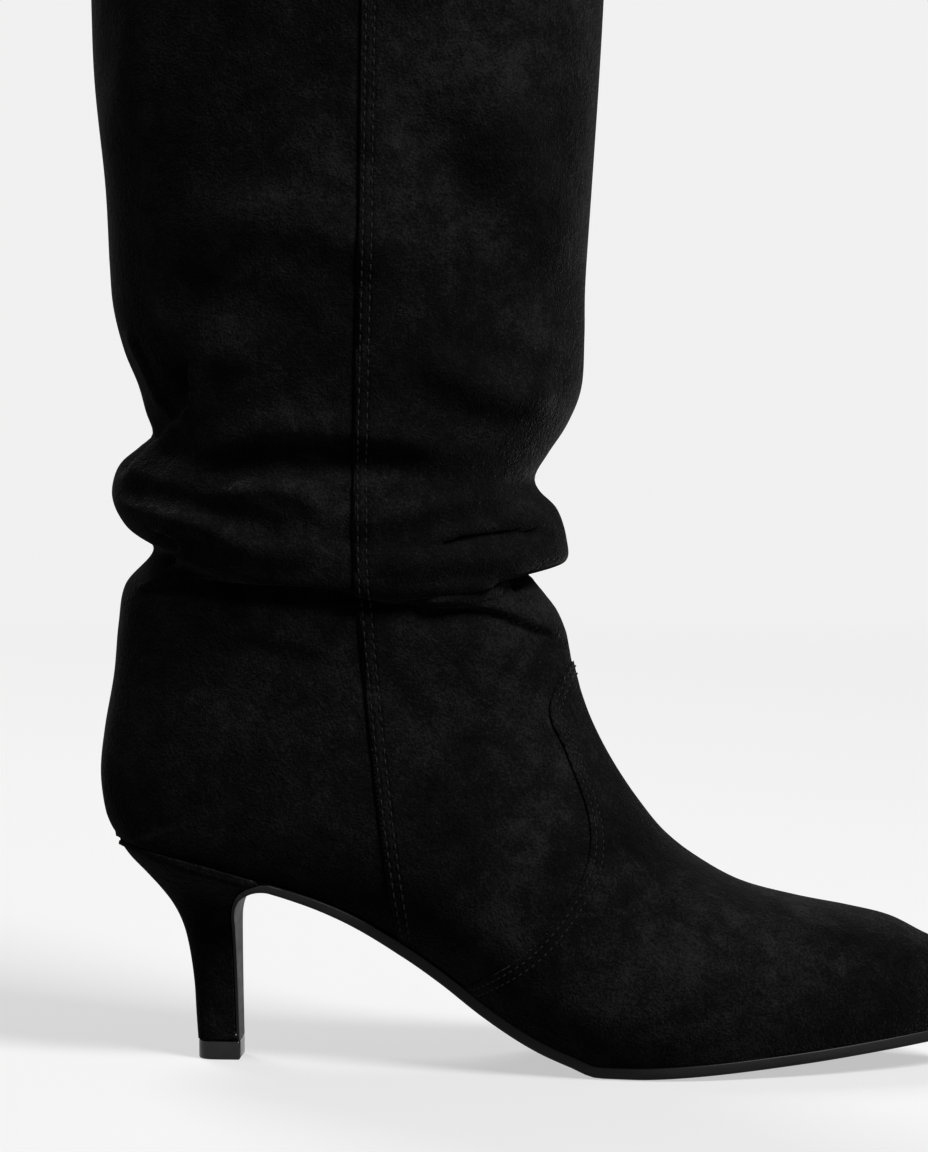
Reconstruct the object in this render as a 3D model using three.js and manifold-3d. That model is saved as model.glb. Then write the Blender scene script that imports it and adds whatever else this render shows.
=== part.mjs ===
// A right-foot slouch boot in black suede on a kitten heel, empty and standing on heel tip and tread.
// Millimetres, +Z up, +X to the toe. The origin is the middle of the heel tip on the floor.
// The outer side of the foot is at -Y and the inner side at +Y.
import * as THREE from 'three';
import { mergeVertices } from 'three/addons/utils/BufferGeometryUtils.js';
import Module from 'manifold-3d';

// Driving dimensions
const FOOT_LENGTH = 243; // back of the counter to the toe tip
const HEEL_SET = 34; // back of the counter to the middle of the heel tip
const SEAT_SET = 4.7; // back of the counter to the back of the seat
const BALL_WIDTH = 84; // upper, across the joints
const SOLE_WIDTH = 76; // sole, across the joints
const SEAT_WIDTH = 51; // heel block, at the seat
const SEAT_HEIGHT = 62; // floor to the back of the seat
const TREAD_BACK = 108; // heel tip to the back of the flat tread
const TREAD_LENGTH = 11; // flat tread that rests on the floor
const TOE_SPRING = 9; // rise of the toe tip
const SPRING_POWER = 1.3; // how late the toe spring sets in, 1 is a straight rise
const INSTEP_HEIGHT = 109; // floor to the top of the vamp
const ANKLE_DEPTH = 132; // front to back above the counter
const ANKLE_WIDTH = 64;
const BOOT_HEIGHT = 400;
const COLLAR_DEPTH = 150; // front to back at the top
const COLLAR_WIDTH = 112;
const COLLAR_MIDDLE = 37.5; // middle of the collar ahead of the heel tip
const COUNTER_TUCK = 0.38; // how the sides close round the counter, 0.5 is an ellipse
const WALL = 2.6; // suede and lining at the front panel
const SEAM_STEP = 0.7; // the front panel stands over the back panel
const VAMP_THICKNESS = 1.2;
const VAMP_STEP = 0.6; // the vamp stands over the front panel
const INSOLE_THICKNESS = 2;
const SOLE_THICKNESS = 3.2; // tread and arch
const SHANK_THICKNESS = 2.3; // where the sole leaves the upper
const BREAST_THICKNESS = 0.9; // where the sole runs down the heel
const SOLE_LEDGE = 1.2; // the sole's edge stands out past the upper
const HEEL_TIP_LENGTH = 12;
const HEEL_TIP_WIDTH = 12.6;
const LIFT_HEIGHT = 5.2;
const LIFT_BEVEL = 0.4;
const GAP = 0.3; // between two pieces that touch

// Mesh density
const SIDE_POINTS = 11; // from the ridge down one side
const TOE_ROWS = 7; // rows of the foot with one step each
const WAIST_ROWS = 15; // rows up to here have two steps, and those of the seat and the shaft have one
const CUT_DEPTH = 5; // how far the lofts reach below the edge that trims them

// The foot, from toe to seat. top: share of the way from the toe tip back to the ankle. up: share of the
// instep height. under: share of the foot's length from the back. outer, inner and ridge: share of the ball
// width. widest: where the section is widest, up from the sole. crown: 2 is an ellipse. tuck: how the side
// turns in to the sole, 0.5 is round. shut: 1 where the section closes behind the seat.
const FOOT_ROWS = [
  { top: 0.002, up: 0.175, under: 0.999, outer: -0.018, inner: 0.066, ridge: 0.024, widest: 0.4, crown: 2.1, tuck: 1, shut: 0 },
  { top: 0.012, up: 0.222, under: 0.994, outer: 0.019, inner: 0.103, ridge: 0.036, widest: 0.4, crown: 2.2, tuck: 1, shut: 0 },
  { top: 0.036, up: 0.27, under: 0.983, outer: 0.067, inner: 0.15, ridge: 0.042, widest: 0.4, crown: 2.2, tuck: 1, shut: 0 },
  { top: 0.074, up: 0.305, under: 0.965, outer: 0.117, inner: 0.2, ridge: 0.042, widest: 0.38, crown: 2.2, tuck: 1, shut: 0 },
  { top: 0.129, up: 0.333, under: 0.94, outer: 0.172, inner: 0.252, ridge: 0.043, widest: 0.37, crown: 2.2, tuck: 1, shut: 0 },
  { top: 0.207, up: 0.371, under: 0.903, outer: 0.236, inner: 0.31, ridge: 0.044, widest: 0.35, crown: 2.2, tuck: 1, shut: 0 },
  { top: 0.31, up: 0.395, under: 0.855, outer: 0.309, inner: 0.379, ridge: 0.046, widest: 0.33, crown: 2.15, tuck: 1, shut: 0 },
  { top: 0.44, up: 0.419, under: 0.794, outer: 0.388, inner: 0.448, ridge: 0.048, widest: 0.3, crown: 2.1, tuck: 1, shut: 0 },
  { top: 0.578, up: 0.456, under: 0.722, outer: 0.457, inner: 0.493, ridge: 0.048, widest: 0.28, crown: 2.05, tuck: 1, shut: 0 },
  { top: 0.69, up: 0.519, under: 0.645, outer: 0.496, inner: 0.504, ridge: 0.045, widest: 0.27, crown: 1.95, tuck: 1, shut: 0 },
  { top: 0.772, up: 0.586, under: 0.565, outer: 0.492, inner: 0.485, ridge: 0.04, widest: 0.27, crown: 1.9, tuck: 1, shut: 0 },
  { top: 0.835, up: 0.665, under: 0.484, outer: 0.466, inner: 0.445, ridge: 0.036, widest: 0.28, crown: 1.9, tuck: 1, shut: 0 },
  { top: 0.886, up: 0.742, under: 0.403, outer: 0.434, inner: 0.405, ridge: 0.029, widest: 0.3, crown: 1.9, tuck: 0.95, shut: 0 },
  { top: 0.926, up: 0.814, under: 0.319, outer: 0.403, inner: 0.377, ridge: 0.021, widest: 0.33, crown: 1.9, tuck: 0.9, shut: 0 },
  { top: 0.957, up: 0.882, under: 0.226, outer: 0.383, inner: 0.364, ridge: 0.014, widest: 0.37, crown: 1.92, tuck: 0.82, shut: 0 },
  { top: 0.978, up: 0.942, under: 0.129, outer: 0.372, inner: 0.361, ridge: 0.01, widest: 0.42, crown: 1.95, tuck: 0.74, shut: 0 },
  { top: 0.986, up: 0.973, under: 0.067, outer: 0.369, inner: 0.361, ridge: 0.007, widest: 0.45, crown: 1.97, tuck: 0.65, shut: 0 },
  { top: 0.99, up: 0.989, under: 0.034, outer: 0.368, inner: 0.363, ridge: 0.003, widest: 0.465, crown: 1.98, tuck: 0.5, shut: 0.1 },
  { top: 0.993, up: 1.003, under: 0.0195, outer: 0.368, inner: 0.366, ridge: 0, widest: 0.48, crown: 1.99, tuck: 0.4, shut: 0.9 },
];

// The shaft, from the seat to the collar, a row for each fold or turn of its outline. front and back: share
// of the way up to the collar. frontIn and backIn: how far inside the straight line from ankle to collar,
// share of the ankle's depth. wide: share of the way from the ankle's width to the collar's. sag: how far
// the sides hang below front and back, share of the ankle's depth.
const SHAFT_ROWS = [
  { front: 0.009, back: 0.017, frontIn: -0.001, backIn: 0.012, wide: -0.042, sag: 0 },
  { front: 0.021, back: 0.053, frontIn: 0.005, backIn: 0.002, wide: -0.025, sag: 0 },
  { front: 0.038, back: 0.092, frontIn: 0.015, backIn: 0.013, wide: 0.002, sag: 0.002 },
  { front: 0.057, back: 0.136, frontIn: 0.037, backIn: 0.034, wide: 0.05, sag: 0.006 },
  { front: 0.074, back: 0.177, frontIn: 0.065, backIn: 0.045, wide: 0.09, sag: 0.015 },
  { front: 0.087, back: 0.211, frontIn: 0.089, backIn: 0.062, wide: 0.115, sag: 0.034 },
  { front: 0.094, back: 0.24, frontIn: 0.095, backIn: 0.122, wide: 0.1, sag: 0.06 },
  { front: 0.104, back: 0.259, frontIn: 0.024, backIn: 0.064, wide: 0.29, sag: 0.068 },
  { front: 0.126, back: 0.283, frontIn: 0.023, backIn: 0.036, wide: 0.4, sag: 0.07 },
  { front: 0.154, back: 0.308, frontIn: 0.046, backIn: 0.051, wide: 0.415, sag: 0.068 },
  { front: 0.172, back: 0.324, frontIn: 0.086, backIn: 0.096, wide: 0.42, sag: 0.064 },
  { front: 0.186, back: 0.334, frontIn: 0.096, backIn: 0.123, wide: 0.43, sag: 0.06 },
  { front: 0.208, back: 0.351, frontIn: 0.07, backIn: 0.111, wide: 0.45, sag: 0.053 },
  { front: 0.236, back: 0.374, frontIn: 0.033, backIn: 0.095, wide: 0.485, sag: 0.042 },
  { front: 0.27, back: 0.401, frontIn: 0.008, backIn: 0.067, wide: 0.53, sag: 0.03 },
  { front: 0.317, back: 0.436, frontIn: 0.007, backIn: 0.045, wide: 0.6, sag: 0.018 },
  { front: 0.369, back: 0.472, frontIn: 0.011, backIn: 0.038, wide: 0.65, sag: 0.008 },
  { front: 0.454, back: 0.537, frontIn: 0.008, backIn: 0.031, wide: 0.71, sag: 0 },
  { front: 0.563, back: 0.622, frontIn: 0.004, backIn: 0.011, wide: 0.78, sag: 0 },
  { front: 0.659, back: 0.705, frontIn: 0.003, backIn: 0.006, wide: 0.835, sag: 0 },
  { front: 0.829, back: 0.853, frontIn: 0.004, backIn: 0.001, wide: 0.925, sag: 0 },
  { front: 1, back: 1, frontIn: 0, backIn: 0, wide: 1, sag: 0 },
];

// The sole's outline from the back of the seat to the toe tip, at even steps of a cosine, so that both ends
// turn round. Shares of the sole's width at the joints; the seat rows follow the seat's width instead.
const SOLE_ROWS = [
  { outer: 0, inner: 0, seat: 1 },
  { outer: 0.3, inner: 0.3, seat: 1 },
  { outer: 0.468, inner: 0.464, seat: 1 },
  { outer: 0.48, inner: 0.43, seat: 1 },
  { outer: 0.285, inner: 0.222, seat: 0 },
  { outer: 0.402, inner: 0.366, seat: 0 },
  { outer: 0.49, inner: 0.51, seat: 0 },
  { outer: 0.386, inner: 0.458, seat: 0 },
  { outer: 0.225, inner: 0.312, seat: 0 },
  { outer: 0.072, inner: 0.164, seat: 0 },
  { outer: -0.046, inner: 0.046, seat: 0 },
];

// The arch, from the back of the tread to the back of the seat: how far back, and how far up to the seat.
const ARCH_ROWS = [
  { back: 0, up: 0 },
  { back: 0.05, up: 0.04 },
  { back: 0.12, up: 0.107 },
  { back: 0.225, up: 0.252 },
  { back: 0.31, up: 0.396 },
  { back: 0.4, up: 0.537 },
  { back: 0.5, up: 0.674 },
  { back: 0.57, up: 0.746 },
  { back: 0.67, up: 0.818 },
  { back: 0.83, up: 0.92 },
  { back: 1, up: 1 },
];

// The heel block, from above the seat to its tip. backUp and frontUp: share of the seat's height.
// back: share of the way from the tip's back to the seat's. front: share of the wedge's reach ahead of the
// breast. wide: share of the way from the tip's outline to the seat's.
const HEEL_ROWS = [
  { backUp: 1.04, back: 1.02, frontUp: 0.9, front: 1.25, wide: 1 },
  { backUp: 0.985, back: 0.97, frontUp: 0.8, front: 1, wide: 1 },
  { backUp: 0.925, back: 0.845, frontUp: 0.775, front: 0.75, wide: 0.86 },
  { backUp: 0.85, back: 0.65, frontUp: 0.745, front: 0.5, wide: 0.65 },
  { backUp: 0.775, back: 0.465, frontUp: 0.71, front: 0.31, wide: 0.46 },
  { backUp: 0.7, back: 0.31, frontUp: 0.66, front: 0.17, wide: 0.31 },
  { backUp: 0.61, back: 0.19, frontUp: 0.59, front: 0.1, wide: 0.2 },
  { backUp: 0.5, back: 0.113, frontUp: 0.49, front: 0.08, wide: 0.13 },
  { backUp: 0.35, back: 0.055, frontUp: 0.35, front: 0.09, wide: 0.07 },
  { backUp: 0.2, back: 0.03, frontUp: 0.2, front: 0.11, wide: 0.03 },
  { backUp: 0.04, back: 0, frontUp: 0.04, front: 0.14, wide: 0 },
];
const SHANK_SHARE = 0.4; // share of the arch in which the sole comes to its full thickness
const WEDGE_REACH = 11.5; // the heel block runs out to a wedge this far ahead of the breast
const TIP_ROUNDING = 2.6; // how square the back of the heel tip is, 2 is round

// The vamp's seam seen from the side, from the tab at the front of the ankle down to the sole.
// along: share of the foot's length from the back. up: share of the instep height.
const VAMP_SEAM = [
  { along: 0.56, up: 1.045 },
  { along: 0.529, up: 1.012 },
  { along: 0.52, up: 0.965 },
  { along: 0.54, up: 0.81 },
  { along: 0.568, up: 0.63 },
  { along: 0.56, up: 0.495 },
  { along: 0.505, up: 0.33 },
  { along: 0.415, up: 0.2 },
  { along: 0.36, up: 0.13 },
];

// The side seam: ahead of the heel tip, share of the ankle's depth; up, share of the boot's height.
const SIDE_SEAM = [
  { ahead: 0.352, up: 1.02 },
  { ahead: 0.326, up: 0.6 },
  { ahead: 0.309, up: 0.375 },
  { ahead: 0.332, up: 0.245 },
  { ahead: 0.37, up: 0.14 },
  { ahead: 0.42, up: 0.02 },
];

// Places worked out from the sizes
const COUNTER_BACK = -HEEL_SET;
const TOE_TIP = COUNTER_BACK + FOOT_LENGTH;
const SEAT_BACK = COUNTER_BACK + SEAT_SET;
const ANKLE_FRONT = COUNTER_BACK + ANKLE_DEPTH;
const TREAD_FRONT = TREAD_BACK + TREAD_LENGTH;
const COLLAR_FRONT = COLLAR_MIDDLE + COLLAR_DEPTH / 2;
const COLLAR_BACK = COLLAR_MIDDLE - COLLAR_DEPTH / 2;
const TIP_BACK = -HEEL_TIP_LENGTH / 2;
const TIP_FRONT = HEEL_TIP_LENGTH / 2;
const BREAST = TIP_FRONT - BREAST_THICKNESS; // the sole's leaf lies on the heel here
const WEDGE_TIP = BREAST + WEDGE_REACH;
const REACH = 2 * FOOT_LENGTH; // wider than any piece, for cutting solids
const BEHIND = COUNTER_BACK - CUT_DEPTH * 2;
const BEYOND = TOE_TIP + CUT_DEPTH * 2;

const { lerp, clamp } = THREE.MathUtils;
const point = (x, z) => new THREE.Vector2(x, z);
const wasm = await Module();
wasm.setup();

// A smooth curve's value between two rows, from the values and the slopes at both.
function blend(t, a, b, leave, arrive) {
  return (
    (2 * t ** 3 - 3 * t ** 2 + 1) * a + (t ** 3 - 2 * t ** 2 + t) * leave +
    (3 * t ** 2 - 2 * t ** 3) * b + (t ** 3 - t ** 2) * arrive
  );
}

// A value of one column, smooth through all rows. at runs from 0 at the first row to 1 at the last.
function column(rows, name, at) {
  const place = clamp(at, 0, 1) * (rows.length - 1);
  const i = Math.min(Math.floor(place), rows.length - 2);
  const [a, b] = [rows[i][name], rows[i + 1][name]];
  const before = i > 0 ? rows[i - 1][name] : 2 * a - b;
  const after = i + 2 < rows.length ? rows[i + 2][name] : 2 * b - a;
  return blend(place - i, a, b, (b - before) / 2, (after - a) / 2);
}

// How far up the arch is at a run back from the tread, 0 to 1, through rows that aren't evenly spaced.
function archHeight(run) {
  const rows = ARCH_ROWS;
  const last = rows.length - 1;
  const at = clamp(run, 0, 1);
  const slope = (i) => (rows[i + 1].up - rows[i].up) / (rows[i + 1].back - rows[i].back);
  const tangent = (i) => {
    if (i === 0) return 0;
    return i === last ? slope(last - 1) : (slope(i - 1) + slope(i)) / 2;
  };
  const found = rows.findIndex((row) => row.back > at);
  const i = found < 0 ? last - 1 : found - 1;
  const length = rows[i + 1].back - rows[i].back;
  const t = (at - rows[i].back) / length;
  return blend(t, rows[i].up, rows[i + 1].up, length * tangent(i), length * tangent(i + 1));
}

// The feather line, where upper and sole meet, as a height over each x: toe spring, tread and arch.
function featherHeight(x) {
  const tread = SOLE_THICKNESS + GAP;
  if (x > TREAD_FRONT) return tread + TOE_SPRING * ((x - TREAD_FRONT) / (TOE_TIP - TREAD_FRONT)) ** SPRING_POWER;
  if (x > TREAD_BACK) return tread;
  return tread + (SEAT_HEIGHT - tread) * archHeight((TREAD_BACK - x) / (TREAD_BACK - SEAT_BACK));
}

// The feather line's direction, to the toe. On the tread it is level.
function featherTangent(x) {
  if (x >= TREAD_BACK && x <= TREAD_FRONT) return point(1, 0);
  return point(1, featherHeight(x + 0.5) - featherHeight(x - 0.5)).normalize();
}

// A place on the feather line, moved square to it by so much.
function onFeather(x, by) {
  const tangent = featherTangent(x);
  return point(x - tangent.y * by, featherHeight(x) + tangent.x * by);
}

// How far the sole reaches to the outer and the inner side at x.
function soleEdge(x) {
  const share = clamp((x - SEAT_BACK) / (TOE_TIP - SEAT_BACK), 0, 1);
  const at = Math.acos(1 - 2 * share) / Math.PI;
  const width = lerp(SOLE_WIDTH, SEAT_WIDTH, clamp(column(SOLE_ROWS, 'seat', at), 0, 1));
  return { outer: column(SOLE_ROWS, 'outer', at) * width, inner: column(SOLE_ROWS, 'inner', at) * width };
}

// A section of the upper: top and under are its ends in the side view, and reach is how far its sides
// stand out from the ridge.
function footSection(at) {
  const value = (name) => column(FOOT_ROWS, name, at);
  const underX = COUNTER_BACK + value('under') * FOOT_LENGTH;
  const edge = soleEdge(underX);
  const ridge = value('ridge') * BALL_WIDTH;
  return {
    top: point(lerp(TOE_TIP, ANKLE_FRONT, value('top')), value('up') * INSTEP_HEIGHT),
    under: point(underX, featherHeight(underX)),
    ridge,
    reach: { outer: value('outer') * BALL_WIDTH + ridge, inner: value('inner') * BALL_WIDTH - ridge },
    edge: { outer: edge.outer - SOLE_LEDGE + ridge, inner: edge.inner - SOLE_LEDGE - ridge },
    widest: value('widest'), crown: value('crown'), tuck: value('tuck'), shut: clamp(value('shut'), 0, 1),
    sag: 0,
  };
}

function shaftSection(at) {
  const value = (name) => column(SHAFT_ROWS, name, at);
  const [front, back] = [value('front'), value('back')];
  const half = lerp(ANKLE_WIDTH, COLLAR_WIDTH, value('wide')) / 2;
  return {
    top: point(
      lerp(ANKLE_FRONT, COLLAR_FRONT, front) - value('frontIn') * ANKLE_DEPTH,
      lerp(INSTEP_HEIGHT, BOOT_HEIGHT, front)),
    under: point(
      lerp(COUNTER_BACK, COLLAR_BACK, back) + value('backIn') * ANKLE_DEPTH,
      lerp(SEAT_HEIGHT, BOOT_HEIGHT, back)),
    ridge: 0, reach: { outer: half, inner: half }, edge: { outer: 0, inner: 0 },
    widest: 0.49, crown: 2, tuck: lerp(COUNTER_TUCK, 0.5, clamp(back, 0, 1)), shut: 1, sag: value('sag') * ANKLE_DEPTH,
  };
}

// One side of a section as points: h up from under to top, y out from the ridge.
function sideOutline(section, side, length) {
  const [reach, edge] = [section.reach[side], section.edge[side]];
  const widest = section.widest * length;
  const low = clamp(edge, 0, reach) * (1 - section.shut);
  const steps = 40;
  const points = [];
  for (let i = 0; i <= steps; i++) {
    const angle = (i / steps) * (Math.PI / 2);
    points.push({
      h: widest + (length - widest) * Math.cos(angle) ** (2 / section.crown),
      y: reach * Math.sin(angle) ** (2 / section.crown),
    });
  }
  for (let i = 1; i <= steps; i++) {
    const angle = (i / steps) * (Math.PI / 2);
    const tucked = Math.cos(angle) ** (2 * section.tuck);
    points.push({ h: widest * (1 - Math.sin(angle)), y: low + (reach - low) * tucked });
  }
  if (section.shut < 1) points.push({ h: -CUT_DEPTH * (1 - section.shut), y: low });
  return points;
}

// count points at even distances along an outline. short leaves so many steps off its end.
function evenly(points, count, short) {
  const run = [0];
  for (let i = 1; i < points.length; i++) {
    run.push(run[i - 1] + Math.hypot(points[i].h - points[i - 1].h, points[i].y - points[i - 1].y));
  }
  const total = run[run.length - 1];
  return Array.from({ length: count }, (_, k) => {
    const goal = (total * (k + 1)) / (count + short);
    const found = run.findIndex((r) => r >= goal);
    const i = found < 1 ? points.length - 1 : found;
    const t = (goal - run[i - 1]) / (run[i] - run[i - 1]);
    return { h: lerp(points[i - 1].h, points[i].h, t), y: lerp(points[i - 1].y, points[i].y, t) };
  });
}

// A section as a ring of points in space: the ridge, then down the outer side and up the inner side.
function sectionRing(section) {
  const along = section.top.clone().sub(section.under);
  const length = along.length();
  along.divideScalar(length);
  const place = (h, y, hang) =>
    new THREE.Vector3(section.under.x + along.x * h, y, section.under.y + along.y * h - hang);
  const side = (name, sign) =>
    evenly(sideOutline(section, name, length), SIDE_POINTS, 0.5 * section.shut).map(({ h, y }) => {
      const hang = section.sag * clamp(y / section.reach[name], 0, 1) ** 2;
      return place(h, section.ridge + sign * y, hang);
    });
  return [place(length, section.ridge, 0), ...side('outer', -1), ...side('inner', 1).reverse()];
}

// Rings all along the upper, from the toe to the collar.
function upperRings() {
  const rings = [];
  const add = (section, rows, from, to, steps) => {
    for (let k = 0; k < (to - from) * steps; k++) {
      rings.push(sectionRing(section((from + k / steps) / (rows.length - 1))));
    }
  };
  const [foot, shaft] = [FOOT_ROWS.length - 1, SHAFT_ROWS.length - 1];
  add(footSection, FOOT_ROWS, 0, TOE_ROWS, 1);
  add(footSection, FOOT_ROWS, TOE_ROWS, WAIST_ROWS, 2);
  add(footSection, FOOT_ROWS, WAIST_ROWS, foot + 1, 1);
  add(shaftSection, SHAFT_ROWS, 0, shaft, 1);
  rings.push(sectionRing(shaftSection(1)));
  return rings;
}

// The same rings with every point moved square to the surface, inwards where by is negative.
function offsetRings(rings, by) {
  const size = rings[0].length;
  const sole = (size - 1) / 2; // the chord after this point closes the section and isn't the surface
  return rings.map((points, i) =>
    points.map((place, j) => {
      const ahead = rings[Math.min(i + 1, rings.length - 1)][j];
      const behind = rings[Math.max(i - 1, 0)][j];
      const next = points[j === sole ? j : (j + 1) % size];
      const last = points[j === sole + 1 ? j : (j + size - 1) % size];
      const normal = ahead.clone().sub(behind).cross(next.clone().sub(last)).normalize();
      return place.clone().addScaledVector(normal, by);
    }));
}

// A closed solid through rings of equally many points, with a flat end on each.
function loft(rings) {
  const size = rings[0].length;
  const middle = (points) =>
    points.reduce((sum, p) => sum.add(p), new THREE.Vector3()).divideScalar(points.length);
  const corners = [...rings.flat(), middle(rings[0]), middle(rings[rings.length - 1])];
  const first = corners.length - 2;
  const end = (rings.length - 1) * size;
  const faces = [];
  for (let j = 0; j < size; j++) {
    const next = (j + 1) % size;
    for (let i = 0; i + 1 < rings.length; i++) {
      const [a, b] = [i * size + j, i * size + next];
      faces.push(a, b + size, b, a, a + size, b + size);
    }
    faces.push(first, j, next, first + 1, end + next, end + j);
  }
  const geometry = new THREE.BufferGeometry().setFromPoints(corners);
  geometry.setIndex(faces);
  return solidOf(geometry);
}

function solidOf(geometry) {
  const bare = geometry.clone();
  bare.deleteAttribute('normal');
  bare.deleteAttribute('uv');
  const merged = mergeVertices(bare, 1e-4);
  return new wasm.Manifold(new wasm.Mesh({
    numProp: 3,
    vertProperties: new Float32Array(merged.attributes.position.array),
    triVerts: new Uint32Array(merged.index.array),
  }));
}

// The largest piece of a solid, without the slivers that a cut can leave.
function whole(solid) {
  return solid.decompose().reduce((best, piece) => (piece.volume() > best.volume() ? piece : best));
}

function geometryOf(solid) {
  const mesh = solid.getMesh();
  const geometry = new THREE.BufferGeometry();
  geometry.setAttribute('position', new THREE.BufferAttribute(new Float32Array(mesh.vertProperties), 3));
  geometry.setIndex(new THREE.BufferAttribute(new Uint32Array(mesh.triVerts), 1));
  geometry.computeVertexNormals();
  return geometry;
}

// A side-view outline of (x, z) points, carried through the whole width of the boot.
function slab(outline) {
  const geometry = new THREE.ExtrudeGeometry(new THREE.Shape(outline), { depth: REACH, bevelEnabled: false });
  geometry.rotateX(Math.PI / 2);
  geometry.translate(0, REACH / 2, 0);
  return solidOf(geometry);
}

// An outline's points, each moved to the left of its direction by so much.
function shifted(points, by) {
  return points.map((place, i) => {
    const before = points[Math.max(i - 1, 0)];
    const after = points[Math.min(i + 1, points.length - 1)];
    const along = after.clone().sub(before).normalize();
    return point(place.x - along.y * by, place.y + along.x * by);
  });
}

// Places along the feather line from the toe tip to where the sole leaves it, closer at both ends. The
// sole and whatever is cut along the feather line share them, so that their facets run side by side.
function plateStations() {
  const steps = 40;
  return Array.from({ length: steps }, (_, i) => {
    const share = (1 - Math.cos((Math.PI * (i + 0.7)) / (steps + 0.7))) / 2;
    return lerp(TOE_TIP, WEDGE_TIP, share ** 1.15);
  });
}

// All that lies below the feather line, moved up by so much.
function belowFeather(by) {
  const seatSteps = 14;
  const seat = Array.from({ length: seatSteps + 1 }, (_, i) => lerp(WEDGE_TIP, BEHIND, i / seatSteps));
  const line = [BEYOND, TOE_TIP, ...plateStations(), ...seat].map((x) => onFeather(x, by));
  return slab([point(BEHIND, -REACH), point(BEYOND, -REACH), ...line]);
}

// The sole's outline, drawn in by so much, as an upright prism. It ends where the toe gets too narrow.
function footprint(inset) {
  const steps = 26;
  const stations = Array.from({ length: steps + 1 }, (_, i) =>
    lerp(SEAT_BACK, TOE_TIP, (1 - Math.cos((Math.PI * i) / steps)) / 2));
  const outer = stations.map((x) => point(x, -soleEdge(x).outer));
  const inner = stations.slice(1, -1).reverse().map((x) => point(x, soleEdge(x).inner));
  const loop = [...outer, ...inner];
  const wrapped = [loop[loop.length - 1], ...loop, loop[0]];
  const moved = shifted(wrapped, inset).slice(1, -1);
  const across = (i) => moved[loop.length - i].y - moved[i].y;
  const tooNarrow = stations.findIndex((_, i) => i > 0 && i < steps && across(i) < inset);
  const last = tooNarrow < 0 ? steps : tooNarrow - 1;
  const outline = [...moved.slice(0, last + 1), ...moved.slice(loop.length - Math.min(last, steps - 1))];
  const geometry = new THREE.ExtrudeGeometry(new THREE.Shape(outline), { depth: REACH, bevelEnabled: false });
  geometry.translate(0, 0, -REACH / 2);
  return solidOf(geometry);
}

// All that lies ahead of and below the vamp's seam, with its border moved back by so much.
function vampRegion(by) {
  const rows = VAMP_SEAM.map((row) => point(COUNTER_BACK + row.along * FOOT_LENGTH, row.up * INSTEP_HEIGHT));
  const seam = shifted(new THREE.SplineCurve(rows).getPoints(24), -by);
  const [start, end] = [seam[0], seam[seam.length - 1]];
  return slab([...seam, point(end.x, -REACH), point(BEYOND, -REACH), point(BEYOND, start.y)]);
}

function frontPanelRegion() {
  const rows = SIDE_SEAM.map((row) => point(row.ahead * ANKLE_DEPTH, row.up * BOOT_HEIGHT));
  const seam = new THREE.SplineCurve(rows).getPoints(24);
  const [start, end] = [seam[0], seam[seam.length - 1]];
  return slab([...seam, point(BEYOND, end.y), point(BEYOND, start.y)]);
}

// The upper: front panel, back panel a step lower, and a bed for the vamp, hollowed and cut at the sole.
function makeUpper(rings) {
  const vampBed = vampRegion(GAP);
  const frontPanel = loft(rings).intersect(frontPanelRegion()).subtract(vampBed);
  const backPanel = loft(offsetRings(rings, -SEAM_STEP)).subtract(vampBed);
  const bed = loft(offsetRings(rings, VAMP_STEP - VAMP_THICKNESS - GAP));
  const hollow = offsetRings(rings, -WALL);
  const mouth = hollow[hollow.length - 1].map((p) => p.clone().setZ(BOOT_HEIGHT + CUT_DEPTH));
  const opening = footprint(SOLE_LEDGE + 2 * WALL).intersect(belowFeather(CUT_DEPTH));
  return whole(backPanel.add(frontPanel).add(bed)
    .subtract(loft([...hollow, mouth])).subtract(opening).subtract(belowFeather(0)));
}

function makeVamp(rings) {
  const inside = loft(offsetRings(rings, VAMP_STEP - VAMP_THICKNESS));
  return loft(offsetRings(rings, VAMP_STEP)).intersect(vampRegion(0)).subtract(inside).subtract(belowFeather(0));
}

function makeInsole(rings) {
  const seat = footprint(SOLE_LEDGE + 2 * WALL + GAP);
  const inside = loft(offsetRings(rings, -WALL - GAP)).add(seat);
  return whole(inside.intersect(belowFeather(INSOLE_THICKNESS)).subtract(belowFeather(0)));
}

// The sole's upper side where it leaves the feather line and turns down the heel's breast.
function breastCurve() {
  const start = onFeather(WEDGE_TIP, -GAP);
  const tangent = featherTangent(WEDGE_TIP);
  const leave = start.clone().addScaledVector(tangent, -0.75 * WEDGE_REACH);
  leave.y -= 0.12 * WEDGE_REACH;
  const end = point(BREAST - 0.07 * WEDGE_REACH, 0.62 * SEAT_HEIGHT);
  return new THREE.CubicBezierCurve(
    start, leave, point(end.x - 0.04 * WEDGE_REACH, end.y + 0.62 * WEDGE_REACH), end);
}

// Half the heel's width on its front at a height. Above the tip it opens out to the seat's outline.
function breastHalf(height) {
  const rows = HEEL_ROWS.length - 1;
  const steps = 60;
  let at = 1;
  for (let i = steps; i >= 0; i--) {
    if (column(HEEL_ROWS, 'frontUp', i / steps) * SEAT_HEIGHT <= height) at = i / steps;
  }
  const edge = soleEdge(WEDGE_TIP);
  const wide = clamp(column(HEEL_ROWS, 'wide', at), 0, 1);
  return { outer: lerp(HEEL_TIP_WIDTH / 2, edge.outer, wide), inner: lerp(HEEL_TIP_WIDTH / 2, edge.inner, wide) };
}

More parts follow.
